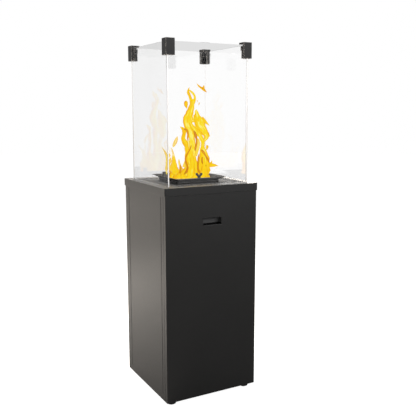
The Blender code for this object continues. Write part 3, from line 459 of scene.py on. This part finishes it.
def hose_rubber():
    """Gas hose: orange rubber with a fine cloth imprint and rubbed dirt."""
    look = Finish("hose_rubber")
    weave = look.node("ShaderNodeTexWave", wave_type="BANDS", bands_direction="DIAGONAL")
    look.plug(weave.inputs["Vector"], look.place)
    weave.inputs["Scale"].default_value = 180.0
    weave.inputs["Distortion"].default_value = 1.5
    dirt = look.noise(50.0, 5.0, 0.7)
    colour = look.mix(look.span(dirt, 0.35, 0.7), (0.50, 0.12, 0.022), (0.36, 0.085, 0.02))
    look.set({
        "Base Color": colour,
        "Roughness": look.span(dirt, 0.3, 0.7, 0.48, 0.66),
        "Normal": look.bump(weave.outputs["Fac"], 0.00012, 0.4),
    })
    return look.material


def ceramic():
    """Glazed insulator with faint crazing and a smoked tip."""
    look = Finish("ceramic")
    smoke = look.noise(90.0, 4.0, 0.6)
    crazing = look.span(look.cells(700.0, feature="DISTANCE_TO_EDGE"), 0.0, 0.06, 1.0, 0.0)
    colour = look.mix(look.span(smoke, 0.4, 0.75), (0.78, 0.76, 0.70), (0.56, 0.52, 0.45))
    look.set({
        "Base Color": look.mix(look.math("MULTIPLY", crazing, 0.25), colour, (0.40, 0.36, 0.30)),
        "Roughness": look.span(smoke, 0.3, 0.7, 0.16, 0.34),
        "Normal": look.bump(crazing, 0.00003, 0.3),
    })
    return look.material


def ground_edge():
    """Ground and polished rim of the glass: pale and frosted, with a painted glow that is brighter up high,
    and grey with less glow along the top as painted shade.
    """
    look = Finish("ground_edge")
    frost = look.noise(700.0, 3.0, 0.6)
    tint = look.noise(40.0, 3.0, 0.6)
    facing = look.node("ShaderNodeSeparateXYZ")
    look.plug(facing.inputs[0], look.node("ShaderNodeNewGeometry").outputs["Normal"])
    # Painted shade: faces that point up or down are grey and glow less.
    shaded_top = look.span(look.math("ABSOLUTE", facing.outputs["Z"]), 0.5, 0.9)
    pale = look.mix(look.span(tint, 0.3, 0.7), (0.90, 0.87, 0.85), (0.98, 0.96, 0.94))
    # Painted glow on the other faces, stronger higher up.
    painted_glow = look.span(look.height(), RIM_FADES_FROM, RIM_FADES_TO, RIM_GLOW, RIM_GLOW_HIGH)
    look.set({
        "Base Color": look.mix(shaded_top, pale, (0.40, 0.37, 0.36)),
        "Roughness": look.span(frost, 0.3, 0.7, 0.25, 0.45),
        "Emission Color": (1.0, 0.98, 0.96),
        "Emission Strength": look.span(shaded_top, 0.0, 1.0, painted_glow, RIM_GLOW_TOP),
        "Normal": look.bump(frost, 0.00005, 0.4),
    })
    return look.material


def glass(name, ior, clearness, glare):
    """Toughened sheet: clear, with faint wiping smears, a little dust and a slow roller wave."""
    look = Finish(name)
    smears = look.span(look.noise(9.0, 5.0, 0.6, look.stretched(1.0, 1.0, 0.35)), 0.50, 0.75)
    smudge = look.math("MULTIPLY", smears, look.span(look.noise(55.0, 4.0, 0.7), 0.35, 0.65))
    look.set({
        "Base Color": look.mix(smudge, grey(clearness), grey(clearness - 0.03)),
        "Roughness": look.span(smudge, 0.0, 1.0, 0.0, 0.03),
        "IOR": ior,
        "Specular IOR Level": glare,
        "Transmission Weight": 1.0,
        "Normal": look.bump(look.noise(7.0, 1.0), 0.0003, 0.5),
    })
    return look.material


FINISHES = {
    make.__name__: make for make in (
        powder_coat, clip_coat, heatproof_coat, cylinder_paint, zinc_steel, stainless, brass, copper,
        regulator_alloy, black_plastic, red_plastic, rubber, hose_rubber, ceramic)
}


# ---------------------------------------------------------------- CAD nodes

def finish_nodes():
    """Gives each CAD node its finish, and rounds its edges by modifiers that leave its vertices alone."""
    materials = {name: make() for name, make in FINISHES.items()}
    materials["finger_cup"] = finger_cup()
    materials["glass_rear"] = glass("glass_reflecting", MIRRORING_IOR, CLEARNESS, MIRRORING_GLARE)
    materials["glass_right"] = materials["glass_rear"]
    materials["glass_front"] = glass("glass_clear", CLEAR_IOR, CLEARNESS, CLEAR_GLARE)
    # The left pane lets a little less light through than the others, so it looks greyer.
    materials["glass_left"] = glass("glass_dusty", CLEAR_IOR, LEFT_PANE_CLEARNESS, CLEAR_GLARE)
    rim = ground_edge()
    for node in frame["nodes"].values():
        slot = node.data.materials[0].name.split(".")[0]
        for index in range(len(node.data.materials)):
            node.data.materials[index] = materials[node.name if node.name in materials else slot]
        soften(node, slot)
        if slot == "glass":
            node.visible_shadow = False
            node.data.materials.append(rim)
            low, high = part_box(node.name)
            through = min(range(3), key=lambda axis: high[axis] - low[axis])
            for face in node.data.polygons:
                face.material_index = 0 if abs(face.normal[through]) > 0.5 else 1


def soften(node, slot):
    """Joins the facets, rounds the sharp edges and keeps the large faces flat in shading."""
    if "custom_normal" in node.data.attributes:
        node.data.attributes.remove(node.data.attributes["custom_normal"])
    node.data.shade_smooth()
    weld = node.modifiers.new("weld", "WELD")
    weld.merge_threshold = WELD
    width = ROUNDING.get(slot)
    if not width:
        return
    bevel = node.modifiers.new("rounded_edges", "BEVEL")
    bevel.width = width
    bevel.segments = 2
    bevel.limit_method = "ANGLE"
    bevel.angle_limit = SHARP_ANGLE
    bevel.use_clamp_overlap = True
    shading = node.modifiers.new("flat_faces", "WEIGHTED_NORMAL")
    shading.mode = "FACE_AREA"
    shading.weight = 100
    shading.keep_sharp = False


# ---------------------------------------------------------------- flames

# The flame sheet stands upright through the burner's middle and faces the camera's side.
# Each row is (along the sheet, above the cap, half width), and depth is towards the camera.
# Rows and depths are in millimetres.
FLAME_HEADING = math.atan2(CAMERA_PLACE[0], -CAMERA_PLACE[1])
ACROSS = Vector((math.cos(FLAME_HEADING), math.sin(FLAME_HEADING), 0.0))
TOWARDS = Vector((math.sin(FLAME_HEADING), -math.cos(FLAME_HEADING), 0.0))
AROUND = 14                # points round a tongue
STEPS = 7                  # rings from one row to the next
FLUTTER = 0.22             # share by which a tongue's width wavers
FLUTTER_PITCH = 70.0       # wavers for each metre
SWAY = 6 * MM              # how far a tongue leans to and fro in depth
SWAY_PITCH = 116 * MM


def smooth_rows(rows):
    """Reads a Catmull-Rom curve through the rows."""
    points = [Vector(row) for row in rows]
    padded = [points[0] * 2 - points[1], *points, points[-1] * 2 - points[-2]]
    result = []
    for before, start, end, after in zip(padded, padded[1:], padded[2:], padded[3:]):
        for step in range(STEPS):
            t = step / STEPS
            result.append(0.5 * ((2 * start) + (end - before) * t
                                 + (2 * before - 5 * start + 4 * end - after) * t ** 2
                                 + (3 * start - before - 3 * end + after) * t ** 3))
    result.append(points[-1])
    return result


def add_tongue(mesh, glow, course, rows, depth=0.0, thick=0.6, warmth=1.0, ends=1.0):
    """Adds one closed tongue of flame, lens-shaped in section, to the mesh.

    glow is highest along the middle of the faces and falls to the edges, and at the ends to the
    share given by ends. course runs across and along the tongue, so that the streaks follow it.
    """
    curve = smooth_rows([tuple(value * MM for value in row) for row in rows])
    start = Vector((curve[0].x, depth * MM, curve[0].y)) * 40
    run_length = 0.0
    rings = []
    for index, row in enumerate(curve):
        before = curve[max(index - 1, 0)]
        after = curve[min(index + 1, len(curve) - 1)]
        run = Vector((after.x - before.x, after.y - before.y)).normalized()
        run_length += Vector((row.x - before.x, row.y - before.y)).length
        side = ACROSS * run.y - Vector((0, 0, 1)) * run.x
        flutter = noise.noise(start + Vector((0.0, 0.0, run_length * FLUTTER_PITCH)))
        half = max(row.z * (1 + FLUTTER * flutter), 0.3 * MM)
        centre = ACROSS * row.x + TOWARDS * (depth * MM) + Vector((0, 0, CAP_TOP + row.y))
        centre += TOWARDS * (SWAY * math.sin(math.tau * row.y / SWAY_PITCH + depth))
        along = index / (len(curve) - 1)
        level = warmth * (ends + (1 - ends) * min(1.0, 5 * along, 5 * (1 - along)))
        ring = []
        for corner in range(AROUND):
            angle = math.tau * corner / AROUND
            lens = math.sin(angle) * (0.55 + 0.45 * abs(math.sin(angle)))
            offset = side * (half * math.cos(angle)) + TOWARDS * (half * thick * lens)
            vertex = mesh.verts.new(centre + offset)
            vertex[glow] = level * (0.3 + 0.7 * abs(math.sin(angle)) ** 0.8)
            vertex[course] = start + Vector((half * math.cos(angle), run_length, half * lens))
            ring.append(vertex)
        rings.append(ring)
    for low, high in zip(rings, rings[1:]):
        for corner in range(AROUND):
            other = (corner + 1) % AROUND
            mesh.faces.new((low[corner], low[other], high[other], high[corner]))
    mesh.faces.new(rings[0])
    mesh.faces.new(rings[-1])


def make_flame(name, material, tongues):
    """One piece of closed tongues, without a shadow. It lights nothing dull: the studio outshines it."""
    mesh = bmesh.new()
    glow = mesh.verts.layers.float.new("glow")
    course = mesh.verts.layers.float_vector.new("course")
    for tongue in tongues:
        add_tongue(mesh, glow, course, **tongue)
    bmesh.ops.recalc_face_normals(mesh, faces=mesh.faces)
    data = bpy.data.meshes.new(name)
    mesh.to_mesh(data)
    mesh.free()
    data.shade_smooth()
    data.materials.append(material)
    piece = bpy.data.objects.new(name, data)
    bpy.context.scene.collection.objects.link(piece)
    piece.visible_shadow = False
    piece.visible_diffuse = False
    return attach(piece, "cabinet")


FIRE = (
    (0.0, (0.56, 0.18, 0.002)), (0.26, (0.84, 0.36, 0.002)), (0.48, (0.95, 0.54, 0.003)),
    (0.70, (0.97, 0.64, 0.004)), (0.90, (0.98, 0.74, 0.010)), (1.0, (1.0, 0.88, 0.17)))
FOLDS = (
    (0.0, (0.50, 0.12, 0.003)), (0.5, (0.56, 0.16, 0.003)), (1.0, (0.78, 0.31, 0.003)))


def fire(name, colours=FIRE, at_edge=1.0, at_heart=1.0):
    """Glowing gas: yellow hearts, orange streaks and brown folds that follow each tongue.

    at_edge and at_heart say how dense it is along a tongue's edges and its middle.
    """
    look = Finish(name)
    glow = look.node("ShaderNodeAttribute", attribute_name="glow").outputs["Fac"]
    course = look.node("ShaderNodeAttribute", attribute_name="course").outputs["Vector"]
    flow = look.warped(look.stretched(1.0, 0.16, 1.0, course), 60.0, 0.006)
    broad = look.span(look.noise(95.0, 2.0, 0.5, flow), 0.32, 0.68, -0.30, 0.16)
    fine = look.span(look.noise(330.0, 2.0, 0.5, flow), 0.3, 0.7, -0.14, 0.10)
    level = look.math("ADD", glow, look.math("ADD", broad, fine))
    look.set({
        "Base Color": (0.0, 0.0, 0.0),
        "Roughness": 1.0,
        "Specular IOR Level": 0.0,
        "Emission Color": look.palette(level, *colours),
        "Emission Strength": 1.0,
        "Alpha": look.span(glow, 0.3, 0.85, at_edge, at_heart),
    })
    return look.material


def make_flames():
    bright = fire("flame")
    pale = fire("flame_thin", FIRE, 0.15, 0.75)
    folds = fire("flame_fold", FOLDS, 0.0, 0.9)
    hollow = fire("flame_hollow", FIRE, 1.0, 0.5)
    make_flame("flame_main", bright, [
        dict(rows=[(1, 11, 34), (4, 24, 31), (12, 40, 24), (15, 60, 21.5), (12, 80, 20), (9, 98, 19),
                   (13, 116, 15), (15, 135, 12.5), (14, 156, 12), (11, 180, 12.5), (7, 201, 12.5),
                   (-2, 222, 17), (-3, 240, 19), (0, 256, 18), (7, 278, 13), (12, 294, 10.5), (15, 312, 9.5),
                   (16, 324, 5)], thick=0.7, warmth=1.0),
        dict(rows=[(11, 306, 5), (9, 322, 5.5), (4, 338, 6), (-1, 350, 5.5), (0, 360, 3.5), (4, 369, 0.4)],
             thick=0.6, warmth=0.75),
        dict(rows=[(18, 306, 6), (24, 320, 5), (25, 332, 4.5), (20, 343, 4.5), (11, 352, 4), (3, 359, 2)],
             thick=0.6, warmth=0.8),
        dict(rows=[(-6, 62, 8), (-9, 80, 6), (-11, 98, 5.5), (-8, 112, 7), (-8, 126, 8), (-10, 142, 9),
                   (-17, 156, 10.5), (-22, 168, 8.5), (-20, 180, 7), (-18, 190, 7.5), (-18, 201, 9),
                   (-24, 208, 6), (-34, 216, 0.5)], depth=14, warmth=0.78),
    ])
    make_flame("flame_right", bright, [
        dict(rows=[(64, 11, 15), (61, 24, 21), (61, 42, 24), (61, 62, 24), (62, 84, 19.5), (60, 104, 15.5),
                   (56, 124, 11.5), (56, 140, 8), (57, 152, 7), (52, 166, 7.5), (45, 180, 8.5),
                   (34, 193, 9.5), (23, 206, 9), (12, 222, 6), (6, 236, 2)], depth=8, warmth=0.95),
        dict(rows=[(31, 283, 2), (31, 274, 6), (36, 256, 11), (41, 240, 17), (45, 225, 20), (52, 210, 17),
                   (61, 196, 15), (69, 184, 12), (70, 173, 10), (65, 162, 6), (58, 150, 1)], depth=-8),
        dict(rows=[(52, 250, 8), (62, 240, 6.5), (70, 231, 5), (77, 225, 3), (83, 218, 0.5)],
             depth=-8, warmth=0.8),
        dict(rows=[(68, 196, 8), (74, 186, 8), (80, 180, 5), (86, 177, 0.8)], depth=-8, warmth=0.6),
        dict(rows=[(29, 268, 2), (24, 256, 3.5), (23, 242, 3.5), (26, 230, 3), (31, 220, 1)],
             depth=-2, warmth=0.55),
        dict(rows=[(72, 60, 13), (84, 61, 10), (96, 61, 7), (108, 60, 4), (118, 58, 0.6)], warmth=0.72),
        dict(rows=[(84, 62, 8), (91, 71, 4), (93, 80, 0.5)], warmth=0.85),
        dict(rows=[(69, 122, 1), (73, 128, 4), (74, 136, 5), (72, 142, 1)], depth=-4, warmth=0.7),
    ])
    make_flame("flame_left", hollow, [
        dict(rows=[(-52, 11, 23), (-54, 20, 25), (-56, 32, 22), (-59, 46, 16), (-60, 66, 12), (-61, 84, 8.5),
                   (-62, 104, 4), (-66, 120, 2.8), (-71, 132, 0.5)], depth=4, warmth=0.9),
        dict(rows=[(-34, 14, 16), (-31, 30, 12), (-31, 44, 8.5), (-35, 60, 4.8), (-39, 76, 4),
                   (-39, 88, 0.8)], depth=10, warmth=0.72),
        dict(rows=[(-40, 16, 12), (-26, 28, 11), (-15, 42, 8), (-8, 56, 5), (-6, 66, 1)],
             depth=6, warmth=0.66),
        dict(rows=[(-83, 53, 1), (-79, 42, 2.5), (-73, 32, 3.5), (-66, 22, 5)], depth=16, warmth=0.55),
        dict(rows=[(-77, 92, 0.8), (-78, 101, 4.5), (-80, 110, 0.8)], warmth=0.75),
        dict(rows=[(-63, 134, 1.5), (-59, 143, 5.5), (-53, 155, 6.5), (-48, 167, 5), (-45, 178, 0.5)],
             warmth=0.85),
    ])
    make_flame("flame_wisps", bright, [
        dict(rows=[(33, 384, 0.5), (40, 375, 3), (49, 368, 4), (58, 363, 5.5), (64, 357, 4), (72, 350, 0.5)],
             warmth=0.62),
        dict(rows=[(56, 362, 5), (60, 370, 4), (60, 377, 0.6)], warmth=0.6),
        dict(rows=[(-6, 315, 4), (-10, 309, 8), (-10, 300, 7), (-8, 292, 4), (-6, 286, 0.6)], warmth=0.62),
        dict(rows=[(33, 320, 0.5), (35, 316, 1.5), (37, 312, 0.5)], warmth=0.7),
        dict(rows=[(42, 312, 0.5), (42, 306, 2.2), (40, 299, 0.5)], warmth=0.7),
    ])
    make_flame("flame_thin_tongues", pale, [
        dict(rows=[(-86, 26, 3), (-89, 45, 3.5), (-88, 60, 3.5), (-86, 84, 4), (-87, 100, 5),
                   (-92, 114, 3.5), (-104, 134, 0.5)]),
        dict(rows=[(-82, 40, 3), (-80, 62, 5), (-76, 80, 6), (-74, 92, 1)]),
        dict(rows=[(-68, 40, 10), (-68, 54, 10), (-66, 68, 4)]),
        dict(rows=[(-1, 110, 6), (1, 126, 7), (0, 142, 8), (-3, 158, 4), (-4, 166, 1)], depth=-6),
        dict(rows=[(30, 96, 3), (32, 112, 6), (36, 130, 8), (38, 150, 8), (36, 168, 4)], depth=-6),
        dict(rows=[(22, 262, 3), (20, 246, 3), (19, 232, 3)], depth=-4),
        dict(rows=[(-18, 52, 8), (-16, 64, 7), (-18, 76, 1)], depth=-6),
    ])
    make_flame("flame_folds", folds, [
        dict(rows=rows, depth=depth, ends=0.0)
        for rows, depth in (
            ([(-24, 204, 2), (-13, 205, 3.5), (-6, 198, 4), (-3, 184, 4), (-4, 170, 3), (-1, 154, 2)], 26),
            ([(15, 160, 2), (10, 141, 2.5), (4, 126, 2.5), (-5, 110, 3), (-12, 96, 4), (-13, 82, 4),
              (-9, 68, 4), (-5, 56, 4), (-8, 42, 5), (-17, 30, 5), (-28, 19, 4)], 32),
            ([(17, 208, 3), (24, 192, 5), (29, 176, 5.5), (31, 160, 4), (29, 144, 4), (26, 130, 3.5),
              (25, 108, 2)], 24),
            ([(47, 126, 3), (40, 102, 4), (37, 82, 3.5), (36, 62, 3.5), (37, 48, 4), (42, 36, 4),
              (52, 30, 3), (68, 27, 3)], 36),
            ([(46, 130, 3), (54, 120, 5), (60, 112, 5), (66, 102, 3), (72, 92, 4), (79, 80, 3), (82, 68, 2)],
             30),
            ([(56, 102, 2), (52, 88, 3), (54, 74, 3), (62, 64, 3), (73, 59, 2)], 34),
            ([(-36, 72, 2), (-33, 54, 3.5), (-34, 40, 4), (-40, 28, 4), (-54, 19, 4)], 28),
        )
    ])
    make_flame("flame_layers", bright, [
        dict(rows=rows, depth=depth, warmth=warmth)
        for rows, depth, warmth in (
            ([(10, 11, 20), (12, 50, 18), (13, 96, 11), (13, 140, 8), (11, 180, 7), (4, 214, 7),
              (0, 240, 2)], -30, 0.9),
            ([(58, 11, 18), (61, 44, 18), (60, 84, 12), (55, 122, 6), (52, 150, 2)], -32, 0.85),
            ([(-50, 11, 18), (-55, 34, 14), (-60, 66, 8), (-62, 96, 2)], -28, 0.85),
            ([(26, 11, 22), (20, 40, 16), (16, 76, 10), (18, 112, 6), (16, 140, 2)], -50, 0.8),
            ([(-28, 11, 16), (-26, 24, 11), (-20, 36, 6), (-14, 50, 1)], -46, 0.7),
            ([(8, 11, 20), (10, 36, 15), (13, 66, 10), (14, 96, 6), (14, 122, 1)], 42, 0.9),
            ([(60, 11, 15), (60, 34, 14), (60, 56, 9), (58, 76, 1)], 44, 0.85),
        )
    ])
    make_flame("flame_carpet", bright, [
        dict(rows=[(place, 8, 10), (place + lean, 15, 11), (place + 2 * lean, 15 + rise / 2, 8),
                   (place + 3 * lean, 17 + rise, 0.6)], depth=depth, thick=0.9, warmth=warmth)
        for place, lean, rise, depth, warmth in (
            (-66, -1, 14, 6, 0.78), (-54, 1, 10, 20, 0.70), (-42, 1, 16, 26, 0.82), (-30, 2, 12, 30, 0.66),
            (-18, -2, 15, 34, 0.80), (-6, 2, 10, 36, 0.90), (6, -1, 12, 40, 0.95), (18, 2, 16, 38, 0.88),
            (30, -2, 9, 36, 0.74), (42, 1, 13, 34, 0.70), (54, 2, 10, 36, 0.82), (66, -1, 14, 30, 0.86),
            (76, -2, 8, 18, 0.70), (-40, 1, 14, -20, 0.8), (0, -2, 14, -30, 0.8), (34, 2, 14, -26, 0.8))
    ])


# ---------------------------------------------------------------- studio

def make_floor():
    bpy.ops.mesh.primitive_circle_add(vertices=96, radius=FLOOR_RADIUS, fill_type="NGON", location=(0, 0, 0))
    floor = bpy.context.object
    floor.name = "floor"
    look = Finish("floor")
    look.set({
        "Base Color": (0.17, 0.17, 0.17),
        "Roughness": 0.9,
        "Specular IOR Level": 0.0,
        "Emission Color": (1.0, 1.0, 1.0),
        "Emission Strength": seen_level(look.tree, 0.0, FLOOR_MIRRORED, FLOOR_SEEN),
    })
    floor.data.materials.append(look.material)


def worked(tree, operation, *values):
    """The output of a math node fed with sockets or plain numbers."""
    made = tree.nodes.new("ShaderNodeMath")
    made.operation = operation
    for socket, value in zip(made.inputs, values):
        feed(tree, socket, value)
    return made.outputs[0]


def chosen(tree, switch, off, on):
    """The off level where the switch is 0 and the on level where it is 1."""
    made = tree.nodes.new("ShaderNodeMapRange")
    feed(tree, made.inputs["Value"], switch)
    feed(tree, made.inputs["To Min"], off)
    feed(tree, made.inputs["To Max"], on)
    return made.outputs[0]


def seen_level(tree, as_light, as_mirrored, as_seen):
    """A level that differs for the studio as a light, in reflections and in view.

    Through a single pane the studio is a little greyer, as it shows above the rear panes.
    """
    path = tree.nodes.new("ShaderNodeLightPath").outputs
    in_view = worked(tree, "MAXIMUM", path["Is Camera Ray"], path["Is Transmission Ray"])
    one_pane = worked(tree, "COMPARE", path["Transmission Depth"], PANE_FACES, PANE_FACES - 0.5)
    mirrored = chosen(tree, path["Is Glossy Ray"], as_light, as_mirrored)
    return chosen(tree, in_view, mirrored, chosen(tree, one_pane, as_seen, as_seen * ONE_PANE))


def make_sky():
    """White where it is seen straight or through the glass, and half as bright as a light."""
    world = bpy.data.worlds.new("studio")
    bpy.context.scene.world = world
    world.use_nodes = True
    backdrop = world.node_tree.nodes["Background"]
    backdrop.inputs["Color"].default_value = (1, 1, 1, 1)
    level = seen_level(world.node_tree, SKY_LIGHT, SKY_LIGHT, SKY_SEEN)
    world.node_tree.links.new(level, backdrop.inputs["Strength"])


def lit_pieces(name, left_out):
    """The pieces a softbox lights. The glass is never one, because it would mirror the box."""
    lit = bpy.data.collections.new(name)
    for piece in bpy.data.objects:
        if piece.type == "MESH" and not piece.name.startswith(left_out):
            lit.objects.link(piece)
    return lit


def only_lit(name, wanted):
    """Only the pieces whose names start as wanted."""
    others = (piece.name for piece in bpy.data.objects if not piece.name.startswith(wanted))
    return lit_pieces(name, tuple(others))


def add_softbox(lit, name, place, aim, width, height, power, colour=(1, 1, 1)):
    light = bpy.data.lights.new(name, "AREA")
    light.shape = "RECTANGLE"
    light.size = width
    light.size_y = height
    light.energy = power
    light.color = colour
    box = bpy.data.objects.new(name, light)
    box.location = place
    box.rotation_euler = (Vector(aim) - Vector(place)).to_track_quat("-Z", "Y").to_euler()
    box.visible_camera = False
    box.visible_transmission = False
    box.light_linking.receiver_collection = lit
    bpy.context.scene.collection.objects.link(box)


def make_lights():
    lit = lit_pieces("lit", PANES)
    sides = lit_pieces("lit_sides", (*PANES, "glass_clip", "glass_clamp"))
    cap = only_lit("lit_cap", "cap_plate")
    clips = only_lit("lit_clips", "glass_clip")
    cup = only_lit("lit_cup", "finger_cup")
    tray = only_lit("lit_tray", "burner_tray")
    ground = only_lit("lit_floor", "floor")
    add_softbox(ground, "floor_left", (-0.9, 1.2, 1.2), (-0.6, 0.9, 0), 0.8, 0.8, 200, WARM)
    add_softbox(lit, "overhead", (0.0, 0.4, 3.2), (0, 0, 0.6), 3.0, 3.0, 50)
    add_softbox(clips, "clip_front", (1.5, -3.0, 2.1), (0, 0, 1.35), 3.0, 1.2, 27)
    add_softbox(clips, "clip_glint", (-2.6, -1.35, 1.4), (0, 0, 1.34), 0.25, 1.6, 45, WARM)
    add_softbox(cup, "cup_fill", (-1.6, -2.2, 1.0), (0, -0.18, 0.71), 1.0, 1.0, 9)
    add_softbox(tray, "tray_front", (0.8, -2.4, 0.62), (0, 0, 0.87), 0.8, 0.1, 110)
    add_softbox(cap, "cap_above", (0, -0.1, 2.6), (0, 0, 0.85), 0.6, 0.6, 120)
    add_softbox(sides, "left_low", (-0.80, 1.05, 0.14), (-0.2, 0, 0.20), 0.9, 0.28, 1.1, WARM)
    add_softbox(sides, "left_wide", (-2.0, 2.6, 0.30), (-0.2, 0, 0.25), 2.4, 0.6, 14, WARM)
    add_softbox(cap, "cap_top", (1.4, 2.0, 2.3), (0, 0, 0.85), 1.6, 1.0, 50, WARM)
    add_softbox(sides, "front_right", (1.5, -3.0, 2.1), (0, -0.2, 0.8), 3.0, 1.2, 100)
    add_softbox(sides, "far_side", (1.80, 2.45, 1.25), (0, 0, 0.85), 1.7, 0.5, 34, WARM)


def make_camera():
    data = bpy.data.cameras.new("camera")
    data.lens = CAMERA_LENS
    data.sensor_width = SENSOR_WIDTH
    camera = bpy.data.objects.new("camera", data)
    camera.location = CAMERA_PLACE
    camera.rotation_euler = (CAMERA_PITCH, 0.0, CAMERA_HEADING)
    bpy.context.scene.collection.objects.link(camera)
    bpy.context.scene.camera = camera


def main():
    bpy.context.scene.view_settings.view_transform = "Standard"
    make_camera()
    make_sky()
    make_floor()
    finish_nodes()
    make_flames()
    make_lights()


main()
